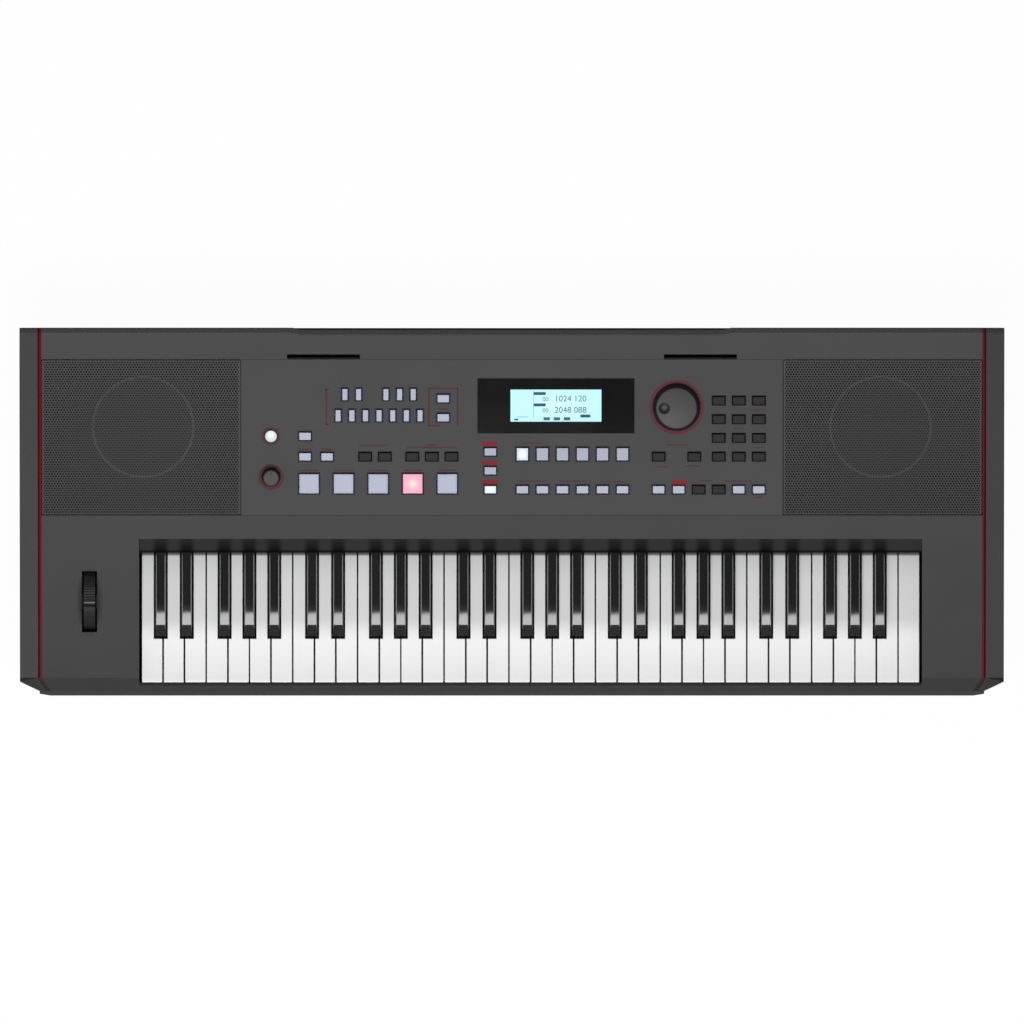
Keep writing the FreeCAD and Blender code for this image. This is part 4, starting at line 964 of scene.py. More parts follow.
# painted shadow lines round the button caps; the dark one is also the volume knob's pointer line
NAVY_BUTTON_SHADOW = Finish("navy painted button shadow", (34, 37, 50), 0.6, gloss=0.05)
DARK_LINE_AND_BUTTON_SHADOW = Finish("black button frame", (28, 28, 28), 0.6, gloss=0.05)
MARK_RED = Finish("printed red", (128, 44, 47), 0.6, 0.05, gloss=0.05)
MARK_DIM = Finish("thin printed red", (88, 52, 53), 0.6, 0.05, gloss=0.05)
MARK_RING = Finish("printed red ring", (100, 52, 55), 0.6, 0.06, gloss=0.05)
SCREEN_INK = Finish("screen segments", (96, 126, 142), 0.6, 0.04, gloss=0.0)
SCREEN_DARK = Finish("dark screen segments", (78, 98, 146), 0.6, 0.04, gloss=0.0)


def dress(piece: Piece, finish: Finish, body: str = "", slot: str = "") -> Piece:
    """Give a piece its finish, and a new piece its body.

    Args:
        piece: CAD node or new piece.
        finish: Its surface.
        body: Body that a new piece rides on; empty for a CAD node.
        slot: Not used.

    Returns:
        The piece.
    """
    piece.data.materials.clear()
    piece.data.materials.append(finish.material())
    if body:
        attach(piece, body)
    log.info("%s: %s, %d faces", piece.name, finish.name, len(piece.data.polygons))
    return piece


def dress_nodes(finishes: dict[str, Finish]) -> None:
    """Give CAD nodes their finishes, by name."""
    for node, finish in finishes.items():
        dress(frame["nodes"][node], finish)


def soften(nodes: Iterable[str], width: float, crease: float = 20.0, angle: float = 28.0) -> None:
    """Round the edges of CAD nodes with live modifiers.

    Args:
        nodes: Names of the nodes.
        width: Width of the rounding in millimetres.
        crease: Edges sharper than this, in degrees, stay crisp in the shading.
        angle: Edges sharper than this, in degrees, are rounded.
    """
    for node in nodes:
        piece = frame["nodes"][node]
        modify(piece, "weld", "WELD", merge_threshold=CAD_WELD)
        modify(piece, "rounding", "BEVEL", width=width * MM, segments=2, limit_method="ANGLE",
               angle_limit=math.radians(angle), use_clamp_overlap=True)
        modify(piece, "crisp edges", "EDGE_SPLIT", split_angle=math.radians(crease))


# Sub-assemblies, with sizes in millimetres


@dataclass(frozen=True)
class Deck:
    """Sloping top that carries the control panel and the grilles."""

    tilt: float = 7.4  # degrees
    length: float = 170.8
    rear_y: float = 165.6
    rear_z: float = 127.5

    def at(self, u: float, v: float, w: float = 0.0) -> Matrix:
        """Place on the slope.

        Args:
            u: Distance along X.
            v: Distance up the slope from its front edge.
            w: Height above the slope.

        Returns:
            The place, with its axes along the slope.
        """
        turn = math.radians(self.tilt)
        y = self.rear_y - self.length * math.cos(turn)
        z = self.rear_z - self.length * math.sin(turn)
        return at(0, y, z) @ Matrix.Rotation(turn, 4, "X") @ at(u, v, w)


DECK = Deck()


@dataclass
class Case:
    """Fixed shells, strips and feet."""

    edge: float = 0.6  # rounding of the shells
    fine_edge: float = 0.3  # rounding of the smaller pieces
    screw_radius: float = 3.2
    screw_rise: float = 1.2
    screw_edge: float = 0.4
    recess: Pair = (1.3, 0.7)  # rim round the driver recess, and its depth
    underside: float = 8.0
    rear_x: tuple[float, ...] = (-476.0, -285.6, 0.0, 285.6, 476.0)
    rear_y: float = 185.0
    side_x: Pair = (-476.0, 476.0)
    side_y: Pair = (-154.0, -16.6)

    def dress(self) -> None:
        """Finish the CAD nodes of the case."""
        dress_nodes({
            "upper_case": CHARCOAL, "lower_case": TRAY, "end_caps": END_CAP, "trim_strips": RED_STRIP,
            "key_well_strip": DARK_STRIP, "rubber_feet": RUBBER, "control_panel": PANEL,
            "jack_panel": FRAME_PLASTIC, "audio_jacks": SOCKET_PLASTIC, "usb_sockets": STEEL,
            "dc_inlet": SOCKET_PLASTIC,
        })
        soften(("upper_case", "end_caps", "lower_case"), self.edge)
        soften(("trim_strips", "rubber_feet", "jack_panel", "key_well_strip"), self.fine_edge)

    def build_screws(self) -> None:
        """Screw heads on the underside, with a driver recess."""
        begin()
        radius, rise = self.screw_radius * MM, self.screw_rise * MM
        bpy.ops.mesh.primitive_cylinder_add(vertices=20, radius=radius, depth=rise)
        head = named("screw_head")
        edit()
        pick(head, lambda face: face.normal.z < -FACING)
        bevel(self.screw_edge)
        pick(head, lambda face: face.normal.z < -LEVEL)
        bpy.ops.mesh.inset(thickness=self.recess[0] * MM)
        extrude(0, 0, self.recess[1])
        close_up()
        spots = [(x, self.rear_y) for x in self.rear_x] + [(x, y) for x in self.side_x for y in self.side_y]
        places = [at(x, y, self.underside - self.screw_rise / 2) for x, y in spots]
        dress(copies(head, "case_screws", places), STEEL, "case", "steel")

    def build(self) -> None:
        """Finish the case and add its screws."""
        self.dress()
        self.build_screws()


@dataclass
class Grille:
    """Perforated sheet over one pair of speakers."""

    side: Side
    inner: float = 295.3  # ends of the sheet, from the middle of the case
    outer: float = 509.9
    seam: float = 1.2  # open line round the sheet
    rim: float = 1.4
    fold: float = 2.8
    rounding: float = 0.3  # of the rim
    lap: float = 0.4  # of the field into the rim
    sink: float = 0.1  # of the field below the rim
    pitch: float = 3.0
    hole: float = 2.1  # across the flats
    sheet: float = 0.8

    @property
    def size(self) -> Pair:
        """Width and depth of the sheet."""
        return self.outer - self.inner, DECK.length - 2 * self.seam

    def build_cell(self) -> Piece:
        """One six-sided cell with its hole and the hole's wall.

        Returns:
            The cell, round the origin.
        """
        begin()
        radius = self.pitch / math.sqrt(3)
        bpy.ops.mesh.primitive_circle_add(vertices=6, radius=radius * MM, fill_type="NGON")
        cell = named("grille_cell")
        edit()
        bpy.ops.mesh.inset(thickness=(self.pitch - self.hole) / 2 * MM)
        extrude(0, 0, -self.sheet)
        bpy.ops.mesh.delete(type="FACE")
        bpy.ops.object.mode_set(mode="OBJECT")
        return cell

    def build_field(self) -> Piece:
        """Field of staggered cells, cut to the inside of the rim.

        Returns:
            The field, with its front left corner at the origin.
        """
        width, depth = self.size
        row = 1.5 * self.pitch / math.sqrt(3)
        field = copies(self.build_cell(), "grille_field", [Matrix(), at(self.pitch / 2, row)])
        across = (int(width / self.pitch) + 2, (self.pitch, 0, 0))
        along = (int(depth / row / 2) + 2, (0, 2 * row, 0))
        for count, step in (across, along):
            rows = modify(field, "rows", "ARRAY", use_relative_offset=False, use_constant_offset=True,
                          constant_offset_displace=Vector(step) * MM, count=count)
            bpy.ops.object.modifier_apply(modifier=rows)
        edit("VERT")
        bpy.ops.mesh.remove_doubles(threshold=WELD)
        reach = self.rim - self.lap
        cuts = [((reach, 0, 0), (-1, 0, 0)), ((width - reach, 0, 0), (1, 0, 0)),
                ((0, reach, 0), (0, -1, 0)), ((0, depth - reach, 0), (0, 1, 0))]
        for point, normal in cuts:
            bpy.ops.mesh.select_all(action="SELECT")
            bpy.ops.mesh.bisect(plane_co=Vector(point) * MM, plane_no=normal, clear_outer=True)
        bpy.ops.object.mode_set(mode="OBJECT")
        return put(field, at(0, 0, -self.sink))

    def build_rim(self) -> Piece:
        """Folded frame round the field.

        Returns:
            The frame, with its front left corner at the origin.
        """
        width, depth = self.size
        rim = outline("grille_rim", (width - 2 * self.rim, depth - 2 * self.rim), self.rim, -self.fold)
        edge = modify(rim, "rounding", "BEVEL", width=self.rounding * MM, segments=2)
        bpy.ops.object.modifier_apply(modifier=edge)
        return put(rim, at(width / 2, depth / 2))

    def build(self) -> None:
        """Join field and rim and set them on the slope."""
        grille = joined(f"grille_{self.side.word}", [self.build_field(), self.build_rim()])
        start = self.inner if self.side is Side.TREBLE else -self.outer
        put(grille, DECK.at(start, self.seam))
        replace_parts(dress(grille, SHEET, "case", "grille"), "speaker_grilles")


@dataclass
class Backing:
    """Cloth and support rings behind one grille."""

    side: Side
    middle: float = 402.6
    width: float = 213.0
    margin: float = 3.0  # length of the slope that the cloth leaves free
    woofer: Pair = (400.3, 96.8)
    tweeter: Pair = (485.9, 148.2)
    woofer_ring: Pair = (56.0, 2.8)  # outer radius and wall
    tweeter_ring: Pair = (12.6, 1.8)
    shelf: float = -2.95  # under the slope
    cloth: float = 0.5
    cloth_edge: float = 0.15
    ring: float = 1.1
    ring_edge: float = 0.4

    def build_ring(self, name: str, centre: Pair, size: Pair, finish: Finish) -> None:
        """Ring that holds the sheet up over one unit.

        Args:
            name: Name of the piece.
            centre: Place on the slope, for the treble side.
            size: Outer radius and thickness of the wall.
            finish: Its surface.
        """
        outer, inner = size[0], size[0] - size[1]
        low = self.shelf + self.cloth
        high = low + self.ring
        profile = [(inner, low), (inner + self.ring_edge, high), (outer - self.ring_edge, high), (outer, low),
                   (inner, low)]
        piece = lathe(f"{name}_{self.side.word}", profile, 96)
        put(piece, DECK.at(self.side.value * centre[0], centre[1]))
        dress(piece, finish, "case", "speaker_frame")

    def build(self) -> None:
        """Lay the cloth on the shelf and the rings on the cloth."""
        size = (self.width, DECK.length - self.margin)
        name = f"cloth_{self.side.word}"
        cloth = tablet(name, size, self.shelf, self.shelf + self.cloth, self.cloth_edge)
        put(cloth, DECK.at(self.side.value * self.middle, DECK.length / 2))
        dress(cloth, CLOTH, "case", "felt")
        self.build_ring("woofer_ring", self.woofer, self.woofer_ring, GASKET)
        self.build_ring("tweeter_ring", self.tweeter, self.tweeter_ring, DARK_GASKET)


class Cap(Enum):
    """Sizes of the button caps."""

    STYLE = (6.8, 13.2)
    PLAIN = (13.3, 9.0)
    TALL = (13.3, 14.4)
    PAD = (22.0, 22.0)


@dataclass(frozen=True)
class CapRow:
    """Row of equal caps on the slope."""

    cap: Cap
    u: float  # middle of the first cap
    v: float
    steps: Iterable[float] = (0,)  # caps of the row, in pitches from the first
    pitch: float = 21.75

    def places(self) -> list[Matrix]:
        """Middles of the caps."""
        return [DECK.at(self.u + self.pitch * step, self.v) for step in self.steps]


@dataclass
class Buttons:
    """Push buttons and pads on the control panel."""

    edge: float = 0.35
    gap: float = 0.4  # cap to the painted shadow line round it
    line: float = 0.7
    rise: float = 0.06
    front_v: float = 28.4  # rows of caps, up the slope
    middle_v: float = 64.4
    tall_v: float = 67.2
    row_pitch: float = 20.45
    part_u: float = -23.4  # first caps of the rows
    tone_u: float = 11.4
    memory_u: float = 159.35
    number_u: float = 224.6
    style_u: float = -188.7
    style_v: Pair = (109.4, 132.5)
    style_pitch: float = 14.83
    part_v: tuple[float, ...] = (28.4, 49.1, 69.8)
    pale_single: tuple[Pair, ...] = (
        (-74.5, 107.2), (-74.5, 128.1), (-224.6, 64.4), (-200.7, 64.4), (-224.6, 86.8))
    dark_single: tuple[float, ...] = (-159.3, -138.0, -108.2, -86.9, -65.6, 159.35, 198.05)
    pad_u: float = -220.3
    pad_v: float = 34.9
    pad_pitch: float = 37.53
    pad_half: float = 9.4  # to the moulded line of a pad
    lit_pad: int = 4
    light: tuple[str, ...] = ("style_buttons_upper", "style_buttons_lower", "bank_buttons", "setup_buttons",
                              "function_buttons", "memory_buttons")
    dark: tuple[str, ...] = ("transport_buttons", "cursor_buttons", "number_buttons", "scene_buttons")

    def light_rows(self) -> list[CapRow]:
        """Rows of pale caps.

        Returns:
            The rows.
        """
        front, rear = self.style_v
        rows = [CapRow(Cap.STYLE, self.style_u, front, range(7), self.style_pitch),
                CapRow(Cap.STYLE, self.style_u, rear, (0.5, 1.5, 3.5, 4.5, 5.5), self.style_pitch)]
        rows += [CapRow(Cap.PLAIN, u, v) for u, v in self.pale_single]
        rows += [CapRow(Cap.PLAIN, self.part_u, v) for v in self.part_v]
        rows += [CapRow(Cap.PLAIN, self.tone_u, self.front_v, range(6)),
                 CapRow(Cap.PLAIN, self.memory_u, self.front_v, (0, 1, 4, 5)),
                 CapRow(Cap.TALL, self.tone_u, self.tall_v, range(6)),
                 CapRow(Cap.PAD, self.pad_u, self.pad_v, range(5), self.pad_pitch)]
        return rows

    def dark_rows(self) -> list[CapRow]:
        """Rows of dark caps.

        Returns:
            The rows.
        """
        rows = [CapRow(Cap.PLAIN, u, self.middle_v) for u in self.dark_single]
        for row in range(4):
            rows.append(CapRow(Cap.PLAIN, self.number_u, self.middle_v + self.row_pitch * row, range(3)))
        return rows + [CapRow(Cap.PLAIN, self.memory_u, self.front_v, (2, 3))]

    def build_shadows(self, name: str, rows: list[CapRow], finish: Finish) -> None:
        """Painted shadow, a thin dark line, round every cap of some rows.

        Args:
            name: Name of the piece.
            rows: Rows of caps.
            finish: Finish of the line.
        """
        made = []
        for row in rows:
            width, depth = row.cap.value
            inside = (width + 2 * self.gap, depth + 2 * self.gap)
            line = outline("button_shadow", inside, self.line, self.rise)
            made.append(copies(line, "button_shadows", row.places()))
        dress(joined(name, made), finish, "case", "panel")

    def pad_finish(self, number: int) -> Finish:
        """Finish of one pad.

        Args:
            number: Pad, from 1 at the left.

        Returns:
            A lit finish for one of them and a plain one for the others.
        """
        place = DECK.at(self.pad_u + (number - 1) * self.pad_pitch, self.pad_v)
        if number == self.lit_pad:
            return LitFinish("lit pad", (96, 60, 76), 0.45, 0.03, place=place, half=(10.5, 10.5), focus=2.0,
                             glow=(232, 156, 184), core=(255, 240, 214), strength=0.93, side=(70, 40, 52))
        return PadFinish(f"pad cap {number}", (174, 180, 198), 0.45, 0.03, bump=0.04, gloss=0.2, place=place,
                         half=(self.pad_half, self.pad_half))

    def build(self) -> None:
        """Finish every group of buttons and lay the painted shadow lines round them."""
        pale = (166, 171, 187)
        part = LitFinish("lit part button", pale, 0.45, 0.03, gloss=0.2,
                         place=DECK.at(self.part_u, self.front_v))
        tone = LitFinish("lit tone button", pale, 0.45, 0.03, gloss=0.2,
                         place=DECK.at(self.tone_u, self.tall_v), half=(6.0, 6.6), glow=(150, 176, 178),
                         core=(250, 255, 255), strength=0.75)
        finishes = {node: LIGHT_CAP for node in self.light}
        finishes |= {node: DARK_CAP for node in self.dark}
        finishes |= {f"pad_{number}": self.pad_finish(number) for number in range(1, 6)}
        finishes |= {"part_buttons": part, "tone_buttons": tone}
        dress_nodes(finishes)
        self.build_shadows("pale_button_shadows", self.light_rows(), NAVY_BUTTON_SHADOW)
        self.build_shadows("dark_button_shadows", self.dark_rows(), DARK_LINE_AND_BUTTON_SHADOW)
        soften(finishes, self.edge)


@dataclass
class Knobs:
    """Value dial, volume knob, power button and pitch wheel."""

    seat: float = 0.6  # gap under the dial and the knob
    dial: Pair = (178.7, 118.4)
    dial_radius: float = 26.0
    dial_top: float = 21.6
    dial_height: float = 10.0
    dimple: float = 6.4  # radius of the ball that leaves the finger dimple
    dimple_flat: float = 0.3  # share of its height that the ball keeps
    dimple_u: float = -13.4
    volume: Pair = (-261.6, 41.9)
    volume_radius: float = 10.6
    volume_height: float = 10.0
    volume_steps: int = 60
    rib: Pair = (0.12, 0.4)  # inset and height of the knob's ribs
    wall_lean: float = 0.3  # the knob's wall has less of its normal than this up or down
    wall_area: float = 4.0  # its faces are larger than this
    pointer: Pair = (0.8, 3.6)
    pointer_v: float = 5.6
    pointer_z: Pair = (-0.1, 0.12)  # foot and top of the pointer line, from the knob's top
    power: Pair = (-261.6, 86.8)
    power_radius: float = 7.0
    wheel: Pair = (-458.9, -94.5)
    # painted highlight along the wheel's groove: width and depth of the pale strip
    wheel_highlight: Pair = (11.6, 1.1)
    wheel_highlight_z: Pair = (-0.3, 0.35)  # its foot and top, from the floor of the groove
    groove: float = 8.4  # floor of the wheel's groove above the slope

    def cut_dimple(self, dial: Piece) -> None:
        """Cut the finger dimple.

        Args:
            dial: Dial, round the origin.
        """
        begin()
        bpy.ops.mesh.primitive_uv_sphere_add(segments=40, ring_count=20, radius=self.dimple * MM,
                                             location=(self.dimple_u * MM, 0, self.dial_height * MM))
        ball = named("dimple_cutter")
        edit()
        bpy.ops.transform.resize(value=(1, 1, self.dimple_flat))
        begin()
        bpy.context.view_layer.objects.active = dial
        hole = modify(dial, "hole", "BOOLEAN", object=ball, operation="DIFFERENCE")
        bpy.ops.object.modifier_apply(modifier=hole)
        bpy.data.objects.remove(ball)

    def build_dial(self) -> None:
        """Round dial with a finger dimple."""
        radius, top, high = self.dial_radius, self.dial_top, self.dial_height
        profile = [(0, self.seat), (radius - 0.4, self.seat), (radius, 1.0), (radius, 1.8),
                   (top + 0.6, high - 0.9), (top, high - 0.3), (top - 0.9, high), (0, high)]
        dial = lathe("dial", profile, 96)
        self.cut_dimple(dial)
        u, v = self.dial
        finish = DialFinish("dial moulding", (32, 32, 33), 0.45, gloss=0.15, place=DECK.at(u, v),
                            dimple=DECK.at(u + self.dimple_u, v))
        put(dial, DECK.at(u, v))
        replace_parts(dress(dial, finish, "value_dial", "knob"), "value_dial")

    def is_rib(self, face: bpy.types.MeshPolygon) -> bool:
        """Tell whether a face of the knob is to be a rib: every second one of its wide wall.

        Args:
            face: Face of the knob, round the origin.

        Returns:
            True for a rib.
        """
        turn = (math.atan2(face.center.y, face.center.x) + math.pi) / (2 * math.pi)
        wall = abs(face.normal.z) < self.wall_lean and face.area > self.wall_area * MM * MM
        return wall and int(turn * self.volume_steps) % 2 == 0

    def build_volume(self) -> None:
        """Ribbed knob with a pointer line."""
        radius, high = self.volume_radius, self.volume_height
        profile = [(0, self.seat), (radius - 0.6, self.seat), (radius - 0.4, 1.0), (radius - 1.6, high - 0.6),
                   (radius - 2.2, high), (0, high)]
        knob = lathe("volume", profile, self.volume_steps)
        edit()
        pick(knob, self.is_rib)
        inset, depth = self.rib
        bpy.ops.mesh.inset(thickness=inset * MM, depth=depth * MM, use_individual=True)
        close_up()
        place = DECK.at(*self.volume)
        finish = DialFinish("knob moulding", (28, 28, 29), 0.45, gloss=0.15, place=place, radius=7.9,
                            top=(69, 69, 69))
        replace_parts(dress(put(knob, place), finish, "volume_knob", "knob"), "volume_knob")
        foot, top = self.pointer_z
        line = tablet("volume_pointer", self.pointer, high + foot, high + top)
        put(line, place @ at(0, self.pointer_v))
        dress(line, DARK_LINE_AND_BUTTON_SHADOW, "volume_knob", "knob")

    def build_power(self) -> None:
        """Lit push button with a dished top and a flange under the panel."""
        wall = self.power_radius - 0.1
        flange = self.power_radius + 1.0
        profile = [(0, -4.4), (flange, -4.4), (flange, -3.4), (wall, -3.2), (wall, 1.8), (wall - 0.5, 2.4),
                   (wall - 1.3, 2.4), (wall - 2.3, 1.9), (0, 1.7)]
        place = DECK.at(*self.power)
        finish = LitFinish("lit power button", (120, 122, 124), 0.35, 0.02, gloss=0.2, place=place,
                           half=(6.4, 6.4), glow=(190, 204, 204), core=(240, 246, 246), strength=0.86,
                           side=(60, 62, 64), round=True)
        button = put(lathe("power", profile), place)
        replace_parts(dress(button, finish, "power_button", "lit_button"), "power_button")

    def build_wheel(self) -> None:
        """Finish the wheel and its bracket, and lay a painted highlight, a pale strip, in the wheel's groove.
        """
        dress_nodes({"pitch_wheel": WHEEL, "wheel_bracket": FRAME_PLASTIC})
        foot, top = [self.groove + height for height in self.wheel_highlight_z]
        line = tablet("wheel_highlight", self.wheel_highlight, foot, top)
        dress(put(line, DECK.at(*self.wheel)), WHEEL_HIGHLIGHT, "pitch_wheel", "wheel")

    def build(self) -> None:
        """Build the turned pieces and finish the wheel."""
        self.build_dial()
        self.build_volume()
        self.build_power()
        self.build_wheel()


@dataclass
class Display:
    """Lens, screen and what the screen shows; figures are placed from the middle of the screen."""

    centre: Pair = (47.8, 119.9)
    width: float = 98.8
    depth: float = 35.6
    frame: float = 0.05  # dark line round the lit part of the glass
    glass: float = -3.8  # face of the screen, below the panel
    ink: float = 0.12  # height of a bar
    digit_lift: float = 0.06  # middle of the digits above the glass
    digit_rise: float = 0.05  # their thickness on each side of it
    em: float = 1.4  # size of a font to the height of its digits
    figures: tuple[tuple[str, float, float, float], ...] = (  # digits, height, left end and foot line
        ("00:", 4.6, -14.6, 4.6), ("00:", 4.6, -14.6, -7.6),
        ("1024 120", 6.6, -1.6, 4.4), ("2048 088", 6.6, -1.6, -8.0))
    pale_bars: tuple[tuple[float, ...], ...] = (  # middle, width and depth
        (-24.5, 1.0, 0.35, 30.0), (-36.0, -12.6, 12.0, 0.5),
        (-10.0, -14.6, 7.0, 3.4), (1.0, -14.6, 7.0, 3.4), (12.0, -14.6, 7.0, 3.4))
    dark_bars: tuple[tuple[float, ...], ...] = (
        (-17.6, 13.0, 13.0, 3.2), (-17.6, 0.6, 13.0, 3.2), (32.0, -11.6, 11.0, 3.2), (-43.0, -15.4, 4.0, 1.8))

    def at(self, u: float, v: float, w: float = 0.0) -> Matrix:
        """Place on the face of the screen."""
        return DECK.at(self.centre[0] + u, self.centre[1] + v, self.glass + w)

    def dress(self) -> None:
        """Backlit glass inside a dark frame, under a smoked lens that is clear over it."""
        place = DECK.at(*self.centre)
        half = (self.width / 2, self.depth / 2)
        screen = LitFinish("backlit screen", (60, 66, 68), 0.35, 0.04, gloss=0.0, place=place,
                           half=(half[0] - self.frame, half[1] - self.frame), glow=(192, 244, 250),
                           core=(208, 252, 255), strength=1.17)
        lens = WindowFinish("smoked lens", (18, 18, 19), 0.12, 0.03, bump=0.01, gloss=0.07, place=place,
                            half=half)
        dress_nodes({"lcd_module": screen, "display_window": lens})

    def figure(self, text: str, size: float, u: float, v: float) -> Piece:
        """Digits on the screen.

        Args:
            text: Digits.
            size: Their height.
            u: Left end.
            v: Foot line.

        Returns:
            The digits as one mesh.
        """
        begin()
        bpy.ops.object.text_add()
        letters = bpy.context.object.data
        letters.body = text
        letters.size = size * self.em * MM
        letters.extrude = self.digit_rise * MM
        bpy.ops.object.convert(target="MESH")
        return put(named("screen_digits"), self.at(u, v, self.digit_lift))

    def bar(self, u: float, v: float, width: float, depth: float) -> Piece:
        """Block of segments on the screen."""
        return put(tablet("screen_bar", (width, depth), 0.0, self.ink, INK_EDGE), self.at(u, v))

    def build(self) -> None:
        """Finish lens and screen and draw the figures."""
        self.dress()
        pale = [self.figure(*figure) for figure in self.figures] + [self.bar(*bar) for bar in self.pale_bars]
        dress(joined("screen_figures", pale), SCREEN_INK, "case", "lcd")
        dark = [self.bar(*bar) for bar in self.dark_bars]
        dress(joined("screen_blocks", dark), SCREEN_DARK, "case", "lcd")


@dataclass
class Print:
    """Plain printed marks on the control panel."""

    rise: float = 0.08
    boxes: tuple[tuple[float, ...], ...] = (  # middle, width and depth
        (-24.2, 36.7, 17.4, 4.8), (-24.2, 57.4, 17.4, 4.8), (-24.2, 78.3, 17.4, 4.8),
        (182.2, 36.1, 17.4, 4.6))
    uprights: tuple[tuple[float, ...], ...] = (
        (-201.6, 118.6, 1.6, 40.0), (-90.2, 118.6, 1.8, 42.0), (-58.9, 118.6, 1.8, 42.0))
    left_line: float = 1.5
    left_rules: tuple[tuple[float, ...], ...] = (  # middle and length
        (-200.4, 138.0, 4.0), (-200.4, 100.0, 4.0), (-74.5, 139.1, 32.0), (-84.0, 98.1, 13.0),
        (-74.5, 116.6, 10.0), (-150.0, 76.4, 32.0), (-86.9, 74.6, 54.0), (-86.9, 77.0, 10.0),
        (-224.6, 72.2, 14.0), (-200.7, 72.2, 12.0))
    pad_line: float = 1.3
    pad_rules: tuple[tuple[float, ...], ...] = (
        (-220.3, 49.4, 20.0), (-182.8, 49.4, 20.0), (-145.2, 49.4, 20.0), (-107.7, 49.4, 20.0),
        (-70.2, 49.4, 20.0))
    right_line: float = 1.1
    right_rules: tuple[tuple[float, ...], ...] = (
        (22.0, 79.0, 24.0), (22.0, 37.6, 30.0), (66.0, 37.6, 30.0), (110.0, 36.6, 26.0),
        (180.0, 77.0, 24.0), (163.0, 53.2, 14.0), (196.0, 54.0, 16.0), (246.0, 37.4, 30.0),
        (210.0, 38.0, 14.0), (268.0, 19.6, 8.0), (268.0, 74.6, 12.0), (246.0, 95.2, 12.0),
        (268.0, 115.6, 12.0))
    power_ring: Pair = (8.2, 9.8)
    volume_ring: Pair = (11.0, 14.0)
    dial_ring: Pair = (26.6, 29.8)

    def bar(self, u: float, v: float, width: float, depth: float) -> Piece:
        """Printed rectangle on the panel."""
        return put(tablet("print_bar", (width, depth), 0.0, self.rise, INK_EDGE), DECK.at(u, v))

    def ring(self, size: Pair, centre: Pair) -> Piece:
        """Printed ring on the panel.

        Args:
            size: Its inner and outer radius.
            centre: Its place on the slope.

        Returns:
            The ring.
        """
        inner, outer = size
        profile = [(inner, 0), (inner, self.rise), (outer, self.rise), (outer, 0), (inner, 0)]
        return put(lathe("print_ring", profile, 96), DECK.at(*centre))

    def build(self) -> None:
        """Lay out the label boxes, rules and rings."""
        dress(joined("printed_boxes", [self.bar(*box) for box in self.boxes]), MARK_RED, "case", "panel")
        rules = [self.bar(*upright) for upright in self.uprights]
        for rows, line in ((self.left_rules, self.left_line), (self.pad_rules, self.pad_line),
                           (self.right_rules, self.right_line)):
            rules += [self.bar(*rule, line) for rule in rows]
        rules += [self.ring(self.power_ring, Knobs.power), self.ring(self.volume_ring, Knobs.volume)]
        dress(joined("printed_rules", rules), MARK_DIM, "case", "panel")
        dress(joined("dial_ring", [self.ring(self.dial_ring, Knobs.dial)]), MARK_RING, "case", "panel")


@dataclass
class Keybed:
    """Keys and the frame under them."""

    white_edge: float = 0.5
    black_edge: float = 0.08
    black_crease: float = 12.0  # degrees

    def build(self) -> None:
        """Finish every key and the hidden frame."""
        whites = {key.node: WHITE_KEY for key in White}
        blacks = {key.node: BLACK_KEY for key in Black}
        dress_nodes(whites | blacks)
        soften(whites, self.white_edge)
        soften(blacks, self.black_edge, self.black_crease)
        dress_nodes({"key_frame": FRAME_PLASTIC, "key_stop_felts": FELT, "key_contact_board": BOARD})


@dataclass
class Contacts:
    """Rubber strips under the keys, with a dome for every key."""

    node: str = "rubber_contact_strips"
    slot: str = "rubber_grey"
    length: float = 846.0
    seam: float = 0.3  # between two strips
    y: float = -71.975
    depth: float = 12.0
    low: float = 47.685
    sheet: float = 49.185
    top: float = 56.788
    foot: float = 4.0  # radius of a dome at its foot
    crown: float = 2.5  # and at its top
    keep: float = 0.44  # share of its height that the pressed key leaves
    last: float = 834.25  # middle of the highest key, from the left end

    def at(self, x: float) -> Matrix:
        """Place on the row of contacts, from its left end."""
        return at(KEYS_LEFT + x, self.y)

    def build_sheets(self) -> None:
        """Flat strips, one for each octave; the last one also carries the highest key."""
        made = []
        for octave in range(OCTAVES):
            start = octave * OCTAVE
            end = self.length if octave == OCTAVES - 1 else start + OCTAVE - self.seam
            strip = tablet("contact_strip", (end - start, self.depth), self.low, self.sheet)
            made.append(put(strip, self.at((start + end) / 2)))
        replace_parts(dress(joined("contact_strips", made), GREY_RUBBER, "case", self.slot), self.node)

    def build_domes(self, key: White | Black) -> None:
        """Domes under the keys of one name.

        Args:
            key: Name of the keys.
        """
        middles = [key.value + OCTAVE * octave for octave in range(OCTAVES)]
        if key is White.C:
            middles.append(self.last)
        profile = [(0, self.sheet), (self.foot, self.sheet), (self.foot - 0.3, self.sheet + 1.0),
                   (self.crown + 0.3, self.top - 1.4), (self.crown, self.top - 0.3),
                   (self.crown - 0.5, self.top), (0, self.top)]
        places = [self.at(middle) for middle in middles]
        domes = copies(lathe("dome", profile, 20), f"domes_{key.node}", places)
        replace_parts(dress(domes, GREY_RUBBER, "case", self.slot), self.node)
        f"{key.node}_press"
        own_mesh(domes)

    def build(self) -> None:
        """Build the strips and the domes of each key name."""
        self.build_sheets()
        for key in (*White, *Black):
            self.build_domes(key)


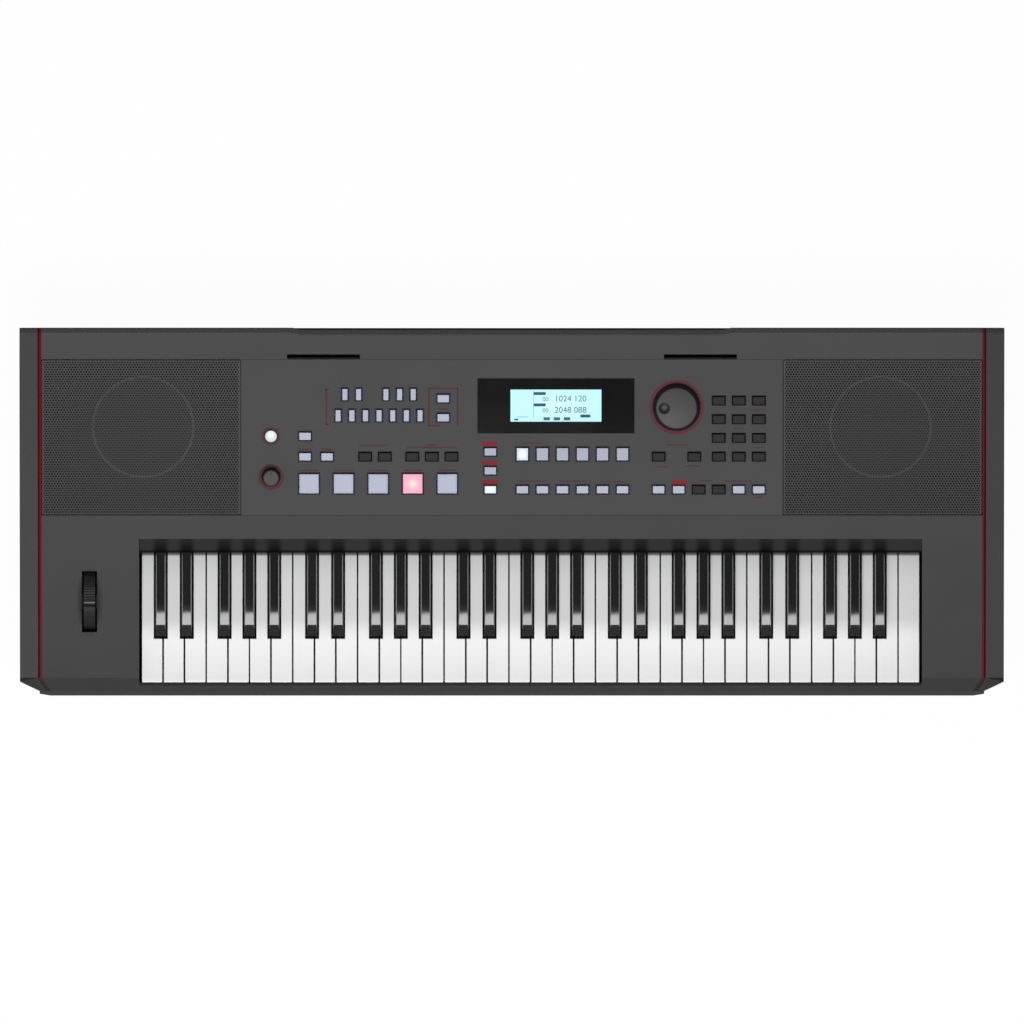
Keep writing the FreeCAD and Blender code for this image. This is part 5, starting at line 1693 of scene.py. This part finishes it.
@dataclass
class Sockets:
    """Collars round the sockets in the rear bay."""

    row_x: tuple[float, ...] = (-118.0, -92.0, -66.0)
    row_z: float = 76.0
    face_y: float = 196.6
    bore: float = 3.3
    nut: float = 5.6
    washer: float = 6.6

    def build(self) -> None:
        """Threaded collars on the audio jacks."""
        profile = [(self.bore, 0), (self.bore, 0.8), (self.nut - 0.4, 0.8), (self.nut, 0.6), (self.nut, 0.3),
                   (self.washer, 0.3), (self.washer, 0), (self.bore, 0)]
        collar = lathe("jack_collar", profile, 40)
        turn = Matrix.Rotation(-math.pi / 2, 4, "X")
        places = [at(x, self.face_y, self.row_z) @ turn for x in self.row_x]
        dress(copies(collar, "jack_collars", places), NICKEL, "case", "steel")


class Inside:
    """Pieces that only show with the case open."""

    def build(self) -> None:
        """Finish the hidden nodes."""
        dress_nodes({"woofer_frames": BLACK_PAINT, "woofer_magnets": FERRITE, "tweeters": BLACK_PAINT,
                     "woofer_cones": CONE_PAPER, "panel_board": BOARD, "switch_mats": GREY_RUBBER,
                     "rotary_controls": STEEL, "main_board": BOARD})


# Studio, with sizes in metres


@dataclass
class Studio:
    """Camera, light and floor."""

    view_width: float = 1.1120  # across the picture, at the height of the keyboard's top
    distance: float = 40.0
    sensor: float = 36.0  # millimetres
    reach: float = 200.0  # how far the camera sees
    aim: tuple[float, float, float] = (0.0001, -0.0001, 0.11)
    horizon: float = 0.7
    zenith: float = 0.12
    lamp_power: float = 78.0  # watts
    lamp_size: Pair = (1.8, 1.35)
    lamp_at: tuple[float, float, float] = (-0.25, -1.335, 2.785)
    lamp_aim: tuple[float, float, float] = (0.0, 0.0, 0.1)
    floor_size: float = 60.0
    floor_tone: float = 0.9
    floor_rough: float = 0.9
    floor_glow: float = 0.97  # share of plain white in the floor that is seen

    def build_camera(self) -> None:
        """Long lens, straight above the keyboard."""
        data = bpy.data.cameras.new("above")
        data.sensor_width = self.sensor
        data.lens = self.sensor * self.distance / self.view_width
        data.clip_end = self.reach
        camera = bpy.data.objects.new("above", data)
        camera.location = Vector(self.aim) + Vector((0, 0, self.distance))
        bpy.context.collection.objects.link(camera)
        bpy.context.scene.camera = camera

    def build_world(self) -> None:
        """Sky that is white at the horizon and darker overhead."""
        world = bpy.data.worlds.new("sky")
        world.use_nodes = True
        bpy.context.scene.world = world
        make = Nodes(world.node_tree)
        back = world.node_tree.nodes["Background"].inputs
        make.feed(back["Color"], WHITE)
        make.feed(back["Strength"], make.spread(make.axis("Z", "Generated"), self.horizon, self.zenith))

    def build_lamp(self) -> None:
        """Large soft lamp ahead of the keys."""
        data = bpy.data.lights.new("soft lamp", "AREA")
        data.shape = "RECTANGLE"
        data.size, data.size_y = self.lamp_size
        data.energy = self.lamp_power
        lamp = bpy.data.objects.new("soft lamp", data)
        lamp.location = self.lamp_at
        way = Vector(self.lamp_aim) - Vector(self.lamp_at)
        lamp.rotation_euler = way.to_track_quat("-Z", "Y").to_euler()
        bpy.context.collection.objects.link(lamp)

    def build_floor(self) -> None:
        """White floor that keeps a soft shadow."""
        begin()
        bpy.ops.mesh.primitive_plane_add(size=self.floor_size)
        floor = named("floor")
        shader = Shader("white floor")
        shader.set(Base_Color=(*[self.floor_tone] * 3, 1.0), Roughness=self.floor_rough)
        shader.set(Specular_IOR_Level=0.0)
        path = shader.node("ShaderNodeLightPath").outputs
        seen = shader.math("MAXIMUM", path["Is Camera Ray"], path["Is Glossy Ray"])
        seen = shader.math("MAXIMUM", seen, path["Is Transmission Ray"])
        share = shader.math("MULTIPLY", seen, self.floor_glow)
        glow = shader.node("ShaderNodeEmission", {"Color": WHITE, "Strength": 1.0})
        blend = shader.node("ShaderNodeMixShader", {0: share, 1: shader.body.outputs[0], 2: glow.outputs[0]})
        shader.feed(shader.tree.nodes["Material Output"].inputs["Surface"], blend.outputs[0])
        floor.data.materials.append(shader.material)

    def build(self) -> None:
        """Set up the studio."""
        self.build_camera()
        self.build_world()
        self.build_lamp()
        self.build_floor()
        bpy.context.scene.view_settings.view_transform = "Standard"


def main() -> None:
    """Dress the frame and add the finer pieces."""
    logging.basicConfig(level=logging.INFO, format="%(name)s: %(message)s")
    backed = [assembly(side) for side in Side for assembly in (Grille, Backing)]
    for assembly in (Studio(), Case(), *backed, Keybed(), Contacts(), Buttons(), Knobs(), Display(), Print(),
                     Sockets(), Inside()):
        assembly.build()
    begin()


if __name__ == "__main__":
    main()
